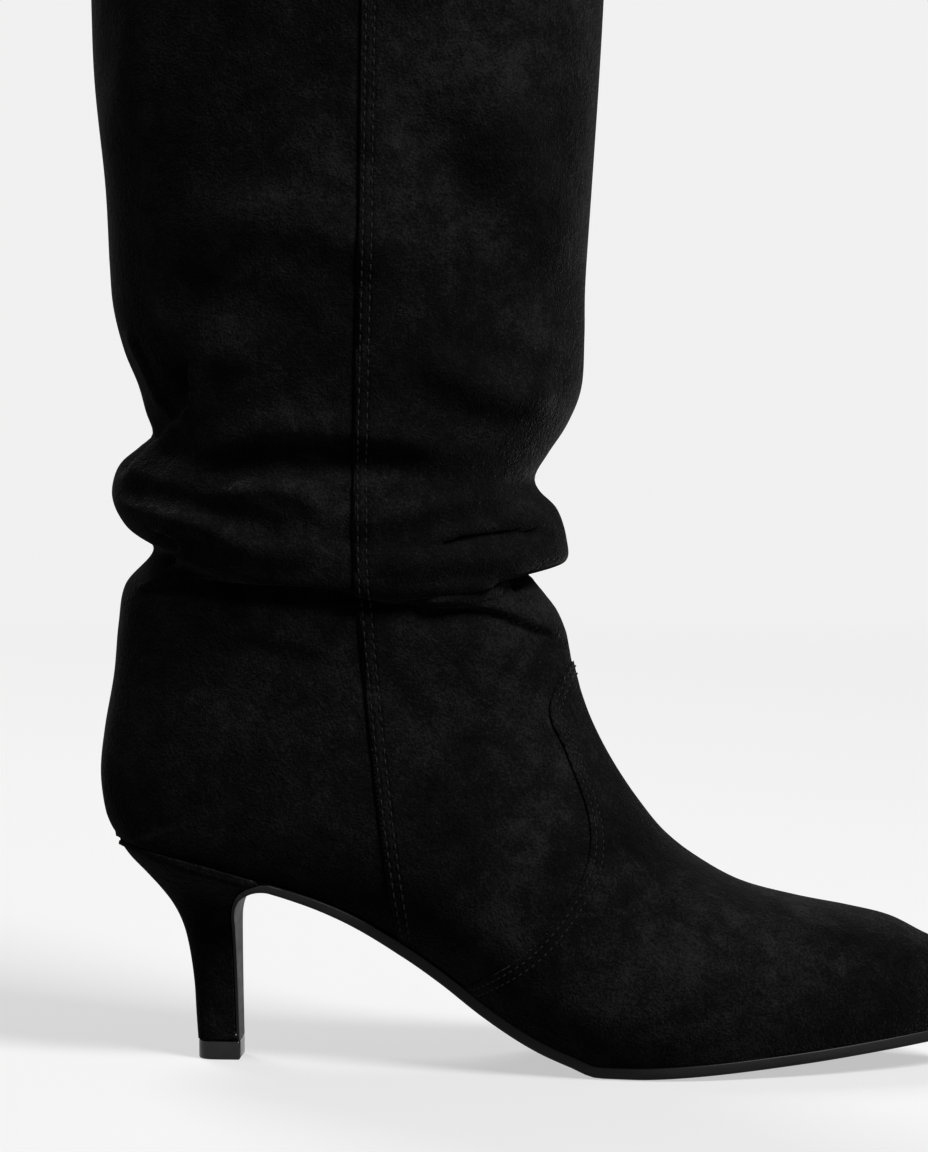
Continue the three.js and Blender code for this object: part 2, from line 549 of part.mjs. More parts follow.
// Stations along the sole's upper side, from the toe tip to the foot of the heel's breast.
function soleStations() {
  const turnSteps = 9;
  const leafSteps = 5;
  const stations = plateStations().map((x) => {
    const tangent = featherTangent(x);
    const full = clamp((x - WEDGE_TIP) / (TREAD_BACK - WEDGE_TIP) / SHANK_SHARE, 0, 1);
    return {
      place: onFeather(x, -GAP), out: point(tangent.y, -tangent.x), ...soleEdge(x),
      thickness: lerp(SHANK_THICKNESS, SOLE_THICKNESS, full),
    };
  });
  const curve = breastCurve();
  const foot = point(BREAST, LIFT_HEIGHT + GAP);
  for (let i = 0; i <= turnSteps + leafSteps; i++) {
    const turn = Math.min(i / turnSteps, 1);
    const down = Math.max(i - turnSteps, 0) / leafSteps;
    const place = curve.getPoint(turn).lerp(foot, down);
    const along = down > 0 ? foot.clone().sub(curve.v3).normalize() : curve.getTangent(turn);
    const wedge = soleEdge(WEDGE_TIP);
    const half = breastHalf(place.y);
    const narrow = Math.min(turn * 2, 1);
    stations.push({
      place, out: point(-along.y, along.x),
      outer: lerp(wedge.outer, half.outer, narrow), inner: lerp(wedge.inner, half.inner, narrow),
      thickness: lerp(SHANK_THICKNESS, BREAST_THICKNESS, Math.min(turn * 1.3, 1)),
    });
  }
  return stations;
}

function makeOutsole() {
  return loft(soleStations().map(({ place, out, outer, inner, thickness }) => {
    const bevel = 0.25 * thickness;
    const at = (y, depth) => new THREE.Vector3(place.x + out.x * depth, y, place.y + out.y * depth);
    const narrow = Math.min(bevel, (outer + inner) / 4);
    return [at(-outer, 0), at(-outer, thickness - bevel), at(narrow - outer, thickness),
      at(inner - narrow, thickness), at(inner, thickness - bevel), at(inner, 0)];
  }));
}

// Half the width of the heel tip's outline, straight ahead and round behind, at a share from its front.
function tipOutline(share) {
  const round = Math.max(2 * share - 1, 0) ** TIP_ROUNDING;
  return (HEEL_TIP_WIDTH / 2) * Math.max(1 - round, 0) ** (1 / TIP_ROUNDING);
}

function heelRing(at) {
  const value = (name) => column(HEEL_ROWS, name, at);
  const front = point(BREAST + value('front') * WEDGE_REACH, value('frontUp') * SEAT_HEIGHT);
  const back = point(lerp(TIP_BACK, SEAT_BACK, value('back')), value('backUp') * SEAT_HEIGHT);
  const steps = 10;
  const side = (name, sign) =>
    Array.from({ length: steps }, (_, k) => {
      const share = Math.sin((k / steps) * (Math.PI / 2));
      const seat = soleEdge(lerp(WEDGE_TIP, SEAT_BACK, share))[name];
      const y = sign * lerp(tipOutline(share), seat, clamp(value('wide'), 0, 1));
      return new THREE.Vector3(lerp(front.x, back.x, share), y, lerp(front.y, back.y, share));
    });
  return [...side('outer', -1), new THREE.Vector3(back.x, 0, back.y), ...side('inner', 1).reverse()];
}

// The heel block: a loft from seat to tip, cut by the feather line above and by the sole's leaf ahead.
function makeHeel() {
  const steps = 14;
  const block = loft(Array.from({ length: steps + 1 }, (_, i) => heelRing(1 - i / steps)));
  const line = soleStations().filter(({ place }) => place.x < WEDGE_TIP + CUT_DEPTH * 2)
    .map(({ place, out }) => place.clone().addScaledVector(out, -GAP));
  const [start, end] = [line[0], line[line.length - 1]];
  const ahead = slab([...line, point(end.x, -REACH), point(BEYOND, -REACH), point(BEYOND, start.y)]);
  const floor = slab([point(BEHIND, -REACH), point(BEYOND, -REACH),
    point(BEYOND, LIFT_HEIGHT + GAP), point(BEHIND, LIFT_HEIGHT + GAP)]);
  return block.intersect(belowFeather(-GAP)).subtract(ahead).subtract(floor);
}

function makeTopLift() {
  const steps = 12;
  const outline = (inset) => {
    const side = (sign) => Array.from({ length: steps }, (_, k) => {
      const share = Math.sin((k / steps) * (Math.PI / 2));
      return point(lerp(TIP_FRONT - inset, TIP_BACK + inset, share), sign * (tipOutline(share) - inset));
    });
    return [...side(-1), point(TIP_BACK + inset, 0), ...side(1).reverse()];
  };
  const ring = (inset, z) => outline(inset).map((p) => new THREE.Vector3(p.x, p.y, z));
  return loft([ring(LIFT_BEVEL, 0), ring(0, LIFT_BEVEL), ring(0, LIFT_HEIGHT)]);
}

function meshOf(name, solid, { color, roughness }) {
  const material = new THREE.MeshStandardMaterial({ color, roughness, metalness: 0 });
  const mesh = new THREE.Mesh(geometryOf(solid), material);
  mesh.name = name;
  return mesh;
}

const SUEDE = { color: 0x141416, roughness: 0.95 };
const SOLE_LEATHER = { color: 0x1c1c1d, roughness: 0.5 };
const TIP_PLASTIC = { color: 0x0b0b0c, roughness: 0.25 };
const SOCK_LEATHER = { color: 0x2a2725, roughness: 0.7 };

const rings = upperRings();
const boot = new THREE.Group();
boot.name = 'slouch_boot';
boot.add(
  meshOf('upper', makeUpper(rings), SUEDE),
  meshOf('vamp', makeVamp(rings), SUEDE),
  meshOf('insole', makeInsole(rings), SOCK_LEATHER),
  meshOf('outsole', makeOutsole(), SOLE_LEATHER),
  meshOf('heel', makeHeel(), SUEDE),
  meshOf('top_lift', makeTopLift(), TIP_PLASTIC),
);

export default boot;
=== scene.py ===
"""The slouch boot's looks: suede panels with their folds and stitches, lining, sole, heel, floor and light.

Sizes are millimetres until a mesh is made. +X is to the toe, +Z up, and the outer side of the foot at -Y.
"""
import math

import bpy
import numpy as np
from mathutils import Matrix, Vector


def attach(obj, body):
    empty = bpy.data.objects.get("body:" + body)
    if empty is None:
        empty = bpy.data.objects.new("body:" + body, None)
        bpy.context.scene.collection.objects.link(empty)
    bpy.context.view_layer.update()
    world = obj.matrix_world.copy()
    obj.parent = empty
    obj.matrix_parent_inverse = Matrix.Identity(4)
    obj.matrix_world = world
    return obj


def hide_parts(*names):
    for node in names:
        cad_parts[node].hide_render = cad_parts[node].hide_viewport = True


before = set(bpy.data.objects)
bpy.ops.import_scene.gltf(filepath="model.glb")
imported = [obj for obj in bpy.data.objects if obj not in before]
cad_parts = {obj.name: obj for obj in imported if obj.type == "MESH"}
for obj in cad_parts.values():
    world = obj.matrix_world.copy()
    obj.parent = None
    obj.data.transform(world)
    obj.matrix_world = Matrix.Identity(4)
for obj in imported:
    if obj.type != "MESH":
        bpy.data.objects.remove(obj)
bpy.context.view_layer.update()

MM = 0.001
TINY = 1e-9

# The last and the shaft, as in the frame
FOOT_LENGTH = 243
HEEL_SET = 34
SEAT_SET = 4.7
BALL_WIDTH = 84
SOLE_WIDTH = 76
SEAT_WIDTH = 51
SEAT_HEIGHT = 62
TREAD_BACK = 108
TREAD_LENGTH = 11
TOE_SPRING = 9
SPRING_POWER = 1.3
INSTEP_HEIGHT = 109
ANKLE_DEPTH = 132
ANKLE_WIDTH = 64
BOOT_HEIGHT = 400
COLLAR_DEPTH = 150
COLLAR_WIDTH = 112
COLLAR_MIDDLE = 37.5
COUNTER_TUCK = 0.38
SEAM_STEP = 0.7
VAMP_STEP = 0.6
INSOLE_THICKNESS = 2
SOLE_THICKNESS = 3.2
SHANK_THICKNESS = 2.3
BREAST_THICKNESS = 0.9
SOLE_LEDGE = 1.2
HEEL_TIP_LENGTH = 12
HEEL_TIP_WIDTH = 12.6
LIFT_HEIGHT = 5.2
GAP = 0.3
CUT_DEPTH = 5
SHANK_SHARE = 0.4
WEDGE_REACH = 11.5
TIP_ROUNDING = 2.6
BREAST_STEPS = 241

# Fineness of the upper's grid: points on each side, rings, and where the rings lie closer or further apart
SIDE_POINTS = 84
STEPS_PER_ROW = 11
RING_SPACING = 1.55
CREASE_HEIGHT = 140
CREASE_SPAN = 26
CALM_ABOVE = 205
CALM_SPAN = 40
CALM_SHARE = 0.55
FEATHER_MARGIN = 20
FEATHER_STEPS = 1200
OUTLINE_STEPS = 160
CURVE_STEPS = 8
SEAM_STEPS = 24

# The toe's cap: how far it bulges, and its rings as shares of the first ring
TOE_CAP = 0.4
CAP_RINGS = (0.004, 0.3, 0.55, 0.8)
CAP_WIDTH = 1

# The folds fade in where the leather turns to the side, and their lips have a step of this sharpness
FACING_START = 0.04
FACING_SPAN = 0.35
STEP_SHARPNESS = 2.5
MOST_EXPONENT = 40

# A cut through a grid line that leaves less than this share of it is put on the line's end
SHORT_CUT = 0.04

COUNTER_BACK = -HEEL_SET
TOE_TIP = COUNTER_BACK + FOOT_LENGTH
SEAT_BACK = COUNTER_BACK + SEAT_SET
ANKLE_FRONT = COUNTER_BACK + ANKLE_DEPTH
TREAD_FRONT = TREAD_BACK + TREAD_LENGTH
COLLAR_FRONT = COLLAR_MIDDLE + COLLAR_DEPTH / 2
COLLAR_BACK = COLLAR_MIDDLE - COLLAR_DEPTH / 2
TIP_BACK = -HEEL_TIP_LENGTH / 2
TIP_FRONT = HEEL_TIP_LENGTH / 2
BREAST = TIP_FRONT - BREAST_THICKNESS
WEDGE_TIP = BREAST + WEDGE_REACH


def table(names, *rows):
    """Rows of a short table as dictionaries by column name."""
    return [dict(zip(names.split(), row)) for row in rows]


# The foot, from toe to seat. top: share of the way from the toe tip back to the ankle. up: share of the
# instep height. under: share of the foot's length from the back. outer, inner, ridge: share of ball width.
FOOT_ROWS = table(
    "top up under outer inner ridge widest crown tuck shut",
    (0.002, 0.175, 0.999, -0.018, 0.066, 0.024, 0.4, 2.1, 1, 0),
    (0.012, 0.222, 0.994, 0.019, 0.103, 0.036, 0.4, 2.2, 1, 0),
    (0.036, 0.27, 0.983, 0.067, 0.15, 0.042, 0.4, 2.2, 1, 0),
    (0.074, 0.305, 0.965, 0.117, 0.2, 0.042, 0.38, 2.2, 1, 0),
    (0.129, 0.333, 0.94, 0.172, 0.252, 0.043, 0.37, 2.2, 1, 0),
    (0.207, 0.371, 0.903, 0.236, 0.31, 0.044, 0.35, 2.2, 1, 0),
    (0.31, 0.395, 0.855, 0.309, 0.379, 0.046, 0.33, 2.15, 1, 0),
    (0.44, 0.419, 0.794, 0.388, 0.448, 0.048, 0.3, 2.1, 1, 0),
    (0.578, 0.456, 0.722, 0.457, 0.493, 0.048, 0.28, 2.05, 1, 0),
    (0.69, 0.519, 0.645, 0.496, 0.504, 0.045, 0.27, 1.95, 1, 0),
    (0.772, 0.586, 0.565, 0.492, 0.485, 0.04, 0.27, 1.9, 1, 0),
    (0.835, 0.665, 0.484, 0.466, 0.445, 0.036, 0.28, 1.9, 1, 0),
    (0.886, 0.742, 0.403, 0.434, 0.405, 0.029, 0.3, 1.9, 0.95, 0),
    (0.926, 0.814, 0.319, 0.403, 0.377, 0.021, 0.33, 1.9, 0.9, 0),
    (0.957, 0.882, 0.226, 0.383, 0.364, 0.014, 0.37, 1.92, 0.82, 0),
    (0.978, 0.942, 0.129, 0.372, 0.361, 0.01, 0.42, 1.95, 0.74, 0),
    (0.986, 0.973, 0.067, 0.369, 0.361, 0.007, 0.45, 1.97, 0.65, 0),
    (0.99, 0.989, 0.034, 0.368, 0.363, 0.003, 0.465, 1.98, 0.5, 0.1),
    (0.993, 1.003, 0.0195, 0.368, 0.366, 0, 0.48, 1.99, 0.4, 0.9),
)

# The shaft, from seat to collar. front, back: share of the way up. frontIn, backIn: share of ankle depth.
SHAFT_ROWS = table(
    "front back front_in back_in wide sag",
    (0.009, 0.017, -0.001, 0.012, -0.042, 0),
    (0.021, 0.053, 0.005, 0.002, -0.025, 0),
    (0.038, 0.092, 0.015, 0.013, 0.002, 0.002),
    (0.057, 0.136, 0.037, 0.034, 0.05, 0.006),
    (0.074, 0.177, 0.065, 0.045, 0.09, 0.015),
    (0.087, 0.211, 0.089, 0.062, 0.115, 0.034),
    (0.094, 0.24, 0.095, 0.122, 0.1, 0.06),
    (0.104, 0.259, 0.024, 0.064, 0.29, 0.068),
    (0.126, 0.283, 0.023, 0.036, 0.4, 0.07),
    (0.154, 0.308, 0.046, 0.051, 0.415, 0.068),
    (0.172, 0.324, 0.086, 0.096, 0.42, 0.064),
    (0.186, 0.334, 0.096, 0.123, 0.43, 0.06),
    (0.208, 0.351, 0.07, 0.111, 0.45, 0.053),
    (0.236, 0.374, 0.033, 0.095, 0.485, 0.042),
    (0.27, 0.401, 0.008, 0.067, 0.53, 0.03),
    (0.317, 0.436, 0.007, 0.045, 0.6, 0.018),
    (0.369, 0.472, 0.011, 0.038, 0.65, 0.008),
    (0.454, 0.537, 0.008, 0.031, 0.71, 0),
    (0.563, 0.622, 0.004, 0.011, 0.78, 0),
    (0.659, 0.705, 0.003, 0.006, 0.835, 0),
    (0.829, 0.853, 0.004, 0.001, 0.925, 0),
    (1, 1, 0, 0, 1, 0),
)

# The sole's outline from the back of the seat to the toe tip, at even steps of a cosine.
SOLE_ROWS = table(
    "outer inner seat",
    (0, 0, 1), (0.3, 0.3, 1), (0.468, 0.464, 1), (0.48, 0.43, 1), (0.285, 0.222, 0), (0.402, 0.366, 0),
    (0.49, 0.51, 0), (0.386, 0.458, 0), (0.225, 0.312, 0), (0.072, 0.164, 0), (-0.046, 0.046, 0),
)

# The arch, from the back of the tread to the back of the seat.
ARCH_ROWS = table(
    "back up",
    (0, 0), (0.05, 0.04), (0.12, 0.107), (0.225, 0.252), (0.31, 0.396), (0.4, 0.537),
    (0.5, 0.674), (0.57, 0.746), (0.67, 0.818), (0.83, 0.92), (1, 1),
)

# The heel block, from above the seat to its tip.
HEEL_ROWS = table(
    "back_up back front_up front wide",
    (1.04, 1.0, 0.9, 1.25, 1), (0.985, 0.955, 0.8, 1, 1), (0.925, 0.845, 0.775, 0.75, 0.86),
    (0.85, 0.65, 0.745, 0.5, 0.65), (0.775, 0.465, 0.71, 0.31, 0.46), (0.7, 0.31, 0.66, 0.17, 0.31),
    (0.61, 0.19, 0.59, 0.1, 0.2), (0.5, 0.113, 0.49, 0.08, 0.13), (0.35, 0.055, 0.35, 0.09, 0.07),
    (0.2, 0.03, 0.2, 0.11, 0.03), (0.04, 0, 0.04, 0.14, 0),
)

# The vamp's seam in the side view, as shares of foot length and instep height.
VAMP_SEAM = table(
    "along up",
    (0.56, 1.075), (0.544, 1.028), (0.53, 0.982), (0.521, 0.93), (0.523, 0.88), (0.54, 0.8), (0.568, 0.63),
    (0.56, 0.495), (0.505, 0.33), (0.415, 0.2), (0.36, 0.13),
)

# The side seam, as shares of ankle depth and boot height.
SIDE_SEAM = table(
    "ahead up",
    (0.352, 1.02), (0.326, 0.6), (0.309, 0.375), (0.332, 0.245), (0.37, 0.14), (0.42, 0.02),
)


def blend(t, a, b, leave, arrive):
    """A smooth curve's value between two rows, from the values and the slopes at both."""
    start = (2 * t**3 - 3 * t**2 + 1) * a + (t**3 - 2 * t**2 + t) * leave
    return start + (3 * t**2 - 2 * t**3) * b + (t**3 - t**2) * arrive


def lerp(a, b, t):
    """The value at a share t of the way from a to b."""
    return a + (b - a) * t


def clamp(value, low=0.0, high=1.0):
    """The value, kept between low and high."""
    return min(max(value, low), high)


def unit(vectors):
    """The same directions with the length 1."""
    return vectors / np.maximum(np.linalg.norm(vectors, axis=-1, keepdims=True), TINY)


def run_along(points):
    """How far along a line of points each of them lies."""
    return np.concatenate([[0], np.cumsum(np.linalg.norm(np.diff(points, axis=0), axis=1))])


def at_run(goals, run, values):
    """Vectors given at runs along a line, read at other runs."""
    return np.stack([np.interp(goals, run, values[:, k]) for k in range(3)], 1)


def column(rows, name, at):
    """A value of one column, smooth through all rows. at runs from 0 at the first row to 1 at the last."""
    place = clamp(at) * (len(rows) - 1)
    i = min(int(place), len(rows) - 2)
    a, b = rows[i][name], rows[i + 1][name]
    before = rows[i - 1][name] if i > 0 else 2 * a - b
    after = rows[i + 2][name] if i + 2 < len(rows) else 2 * b - a
    return blend(place - i, a, b, (b - before) / 2, (after - a) / 2)


def arch_height(run):
    """How far up the arch is at a run back from the tread, 0 to 1."""
    rows, last, at = ARCH_ROWS, len(ARCH_ROWS) - 1, clamp(run)

    def slope(i):
        return (rows[i + 1]["up"] - rows[i]["up"]) / (rows[i + 1]["back"] - rows[i]["back"])

    def tangent(i):
        if i == 0:
            return 0
        return slope(last - 1) if i == last else (slope(i - 1) + slope(i)) / 2

    i = next((k for k, row in enumerate(rows) if row["back"] > at), last) - 1
    length = rows[i + 1]["back"] - rows[i]["back"]
    t = (at - rows[i]["back"]) / length
    return blend(t, rows[i]["up"], rows[i + 1]["up"], length * tangent(i), length * tangent(i + 1))


def feather_height(x):
    """The feather line, where upper and sole meet, as a height over x."""
    tread = SOLE_THICKNESS + GAP
    if x > TREAD_FRONT:
        return tread + TOE_SPRING * ((x - TREAD_FRONT) / (TOE_TIP - TREAD_FRONT)) ** SPRING_POWER
    if x > TREAD_BACK:
        return tread
    return tread + (SEAT_HEIGHT - tread) * arch_height((TREAD_BACK - x) / (TREAD_BACK - SEAT_BACK))


FEATHER_X = np.linspace(COUNTER_BACK - FEATHER_MARGIN, TOE_TIP + FEATHER_MARGIN, FEATHER_STEPS)
FEATHER_Z = np.array([feather_height(x) for x in FEATHER_X])
FEATHER_SLOPE = np.gradient(FEATHER_Z, FEATHER_X)


def feather_tangent(x):
    """The feather line's direction at x in the side view."""
    slope = np.interp(x, FEATHER_X, FEATHER_SLOPE)
    return np.array([1, slope]) / math.hypot(1, slope)


def above_feather(places):
    """How far side-view places lie above the feather line, square to it."""
    height = np.interp(places[:, 0], FEATHER_X, FEATHER_Z)
    slope = np.interp(places[:, 0], FEATHER_X, FEATHER_SLOPE)
    return (places[:, 1] - height) / np.hypot(1, slope)


def on_feather(x, by):
    """A place on the feather line in the side view, moved square to it by so much."""
    tangent = feather_tangent(x)
    return np.array([x - tangent[1] * by, feather_height(x) + tangent[0] * by])


def sole_edge(x):
    """How far the sole reaches to the outer and the inner side at x."""
    share = clamp((x - SEAT_BACK) / (TOE_TIP - SEAT_BACK))
    at = math.acos(1 - 2 * share) / math.pi
    width = lerp(SOLE_WIDTH, SEAT_WIDTH, clamp(column(SOLE_ROWS, "seat", at)))
    return {side: column(SOLE_ROWS, side, at) * width for side in ("outer", "inner")}


def foot_section(at):
    """A section of the foot: its two ends in the side view and how far its sides stand out."""
    row = {name: column(FOOT_ROWS, name, at) for name in FOOT_ROWS[0]}
    under_x = COUNTER_BACK + row["under"] * FOOT_LENGTH
    edge = sole_edge(under_x)
    ridge = row["ridge"] * BALL_WIDTH
    return {
        "top": np.array([lerp(TOE_TIP, ANKLE_FRONT, row["top"]), row["up"] * INSTEP_HEIGHT]),
        "under": np.array([under_x, feather_height(under_x)]),
        "ridge": ridge,
        "outer": row["outer"] * BALL_WIDTH + ridge,
        "inner": row["inner"] * BALL_WIDTH - ridge,
        "outer_edge": edge["outer"] - SOLE_LEDGE + ridge,
        "inner_edge": edge["inner"] - SOLE_LEDGE - ridge,
        "widest": row["widest"], "crown": row["crown"], "tuck": row["tuck"], "shut": clamp(row["shut"]),
        "sag": 0,
    }


def shaft_section(at):
    """A section of the shaft, in the same form as the foot's."""
    row = {name: column(SHAFT_ROWS, name, at) for name in SHAFT_ROWS[0]}
    half = lerp(ANKLE_WIDTH, COLLAR_WIDTH, row["wide"]) / 2
    front_x = lerp(ANKLE_FRONT, COLLAR_FRONT, row["front"]) - row["front_in"] * ANKLE_DEPTH
    back_x = lerp(COUNTER_BACK, COLLAR_BACK, row["back"]) + row["back_in"] * ANKLE_DEPTH
    return {
        "top": np.array([front_x, lerp(INSTEP_HEIGHT, BOOT_HEIGHT, row["front"])]),
        "under": np.array([back_x, lerp(SEAT_HEIGHT, BOOT_HEIGHT, row["back"])]),
        "ridge": 0, "outer": half, "inner": half, "outer_edge": 0, "inner_edge": 0,
        "widest": 0.49, "crown": 2, "tuck": lerp(COUNTER_TUCK, 0.5, clamp(row["back"])), "shut": 1,
        "sag": row["sag"] * ANKLE_DEPTH,
    }


def side_outline(section, side, length):
    """One side of a section: h up from under to top, and y out from the ridge."""
    reach, edge = section[side], section[side + "_edge"]
    widest = section["widest"] * length
    low = clamp(edge, 0, reach) * (1 - section["shut"])
    angle = np.linspace(0, math.pi / 2, OUTLINE_STEPS)
    crown = 2 / section["crown"]
    cosine = np.clip(np.cos(angle), 0, 1)
    upper_h = widest + (length - widest) * cosine**crown
    upper_y = reach * np.sin(angle) ** crown
    lower_h = widest * (1 - np.sin(angle[1:]))
    lower_y = low + (reach - low) * cosine[1:] ** (2 * section["tuck"])
    h, y = np.concatenate([upper_h, lower_h]), np.concatenate([upper_y, lower_y])
    if section["shut"] < 1:
        h, y = np.append(h, -CUT_DEPTH * (1 - section["shut"])), np.append(y, low)
    return h, y


def section_ring(section, count):
    """A section as a ring of points: the ridge, then down the outer side and up the inner side."""
    along = section["top"] - section["under"]
    length = np.linalg.norm(along)
    along = along / length

    def side(name, sign):
        h, y = side_outline(section, name, length)
        run = np.concatenate([[0], np.cumsum(np.hypot(np.diff(h), np.diff(y)))])
        goals = run[-1] * np.arange(1, count + 1) / (count + 0.5 * section["shut"])
        h, y = np.interp(goals, run, h), np.interp(goals, run, y)
        hang = section["sag"] * np.clip(y / section[name], 0, 1) ** 2
        x, z = section["under"][0] + along[0] * h, section["under"][1] + along[1] * h - hang
        return np.stack([x, section["ridge"] + sign * y, z], 1)

    ridge = [[section["top"][0], section["ridge"], section["top"][1]]]
    return np.concatenate([ridge, side("outer", -1), side("inner", 1)[::-1]])


def upper_rings(count, steps):
    """Rings all along the upper, from the toe to the collar, as an array of rings, points and axes."""
    foot, shaft = len(FOOT_ROWS) - 1, len(SHAFT_ROWS) - 1
    tip = section_ring(foot_section(0), count)
    rings = [toe_cap(tip, share) for share in CAP_RINGS]
    rings += [section_ring(foot_section(k / steps / foot), count) for k in range(foot * steps + 1)]
    low, high = foot_section(1), shaft_section(0)
    for k in range(1, steps):
        rings.append(section_ring(between(low, high, k / steps), count))
    rings += [section_ring(shaft_section(k / steps / shaft), count) for k in range(shaft * steps + 1)]
    return np.array(rings)


def toe_cap(ring, share):
    """A ring that closes the toe, drawn in towards its middle and moved a little ahead."""
    middle = ring.mean(0)
    return middle + (ring - middle) * share + [TOE_CAP * (1 - share**2), 0, 0]


def between(low, high, t):
    """A section at a share t of the way from one section to another."""
    return {name: lerp(low[name], high[name], t) for name in low}


def ring_normals(grid):
    """Unit normals of a grid of rings, pointing out. The chord under the sole isn't the surface."""
    size = grid.shape[1]
    sole = (size - 1) // 2
    along = np.gradient(grid, axis=0)
    ahead, behind = np.roll(grid, -1, axis=1), np.roll(grid, 1, axis=1)
    ahead[:, sole], behind[:, sole + 1] = grid[:, sole], grid[:, sole + 1]
    normal = np.cross(along, ahead - behind)
    return unit(normal)


def softened(grid, passes):
    """The grid with each value evened out over its neighbours, again and again."""
    for _ in range(passes):
        padded = np.concatenate([grid[:1], grid, grid[-1:]])
        grid = grid * 0.5 + (padded[:-2] + padded[2:]) * 0.25
        grid = grid * 0.5 + (np.roll(grid, 1, 1) + np.roll(grid, -1, 1)) * 0.25
    return grid


def soft_normals(grid, passes):
    """Normals evened out over their neighbours, so that offsets don't cross in tight creases."""
    return unit(softened(ring_normals(grid), passes))


def smooth_curve(points, steps):
    """A Catmull-Rom curve through side-view points, with so many steps between two of them."""
    points = np.array(points, float)
    curve = []
    for i in range(len(points) - 1):
        before, after = points[max(i - 1, 0)], points[min(i + 2, len(points) - 1)]
        a, b = points[i], points[i + 1]
        curve += [blend(k / steps, a, b, (b - before) / 2, (after - a) / 2) for k in range(steps)]
    return np.array(curve + [points[-1]])


def side_distance(places, curve):
    """Signed distance of side-view places from a curve, positive to the left of its direction, and the
    share of the curve's length at the nearest point."""
    best = np.full(len(places), np.inf)
    signed, share = np.zeros(len(places)), np.zeros(len(places))
    run = run_along(curve)
    for k in range(len(curve) - 1):
        a, along = curve[k], curve[k + 1] - curve[k]
        length = np.linalg.norm(along)
        along = along / length
        off = places - a
        t = np.clip(off @ along, 0, length)
        gap = np.linalg.norm(off - t[:, None] * along, axis=1)
        closer = gap < best
        best[closer] = gap[closer]
        side = along[0] * off[:, 1] - along[1] * off[:, 0]
        signed[closer] = np.where(side[closer] >= 0, gap[closer], -gap[closer])
        share[closer] = (run[k] + t[closer]) / run[-1]
    return signed, share


# Folds and soft waves on the leather, in the side view: ahead of the heel tip and up from the floor.

def fold(line, over, under, reach_over, reach_under, hang, crisp, fade):
    """A crease along a line of places. over and under: how far the leather stands out just above and just
    below the line, or to the left and right of its direction. reach_over, reach_under: how far that fades.
    hang: how far the lip sinks over the pocket below it. crisp: width of the step between the two. fade:
    share of the line lost at each end."""
    return {"line": line, "over": over, "under": under, "reach_over": reach_over, "reach_under": reach_under,
            "hang": hang, "crisp": crisp, "fade": fade}


def wave(line, height, reach_over, reach_under, fade):
    """A soft ridge with no lip, or a trough where its height is negative."""
    return fold(line, height, height, reach_over, reach_under, 0, 1, fade)


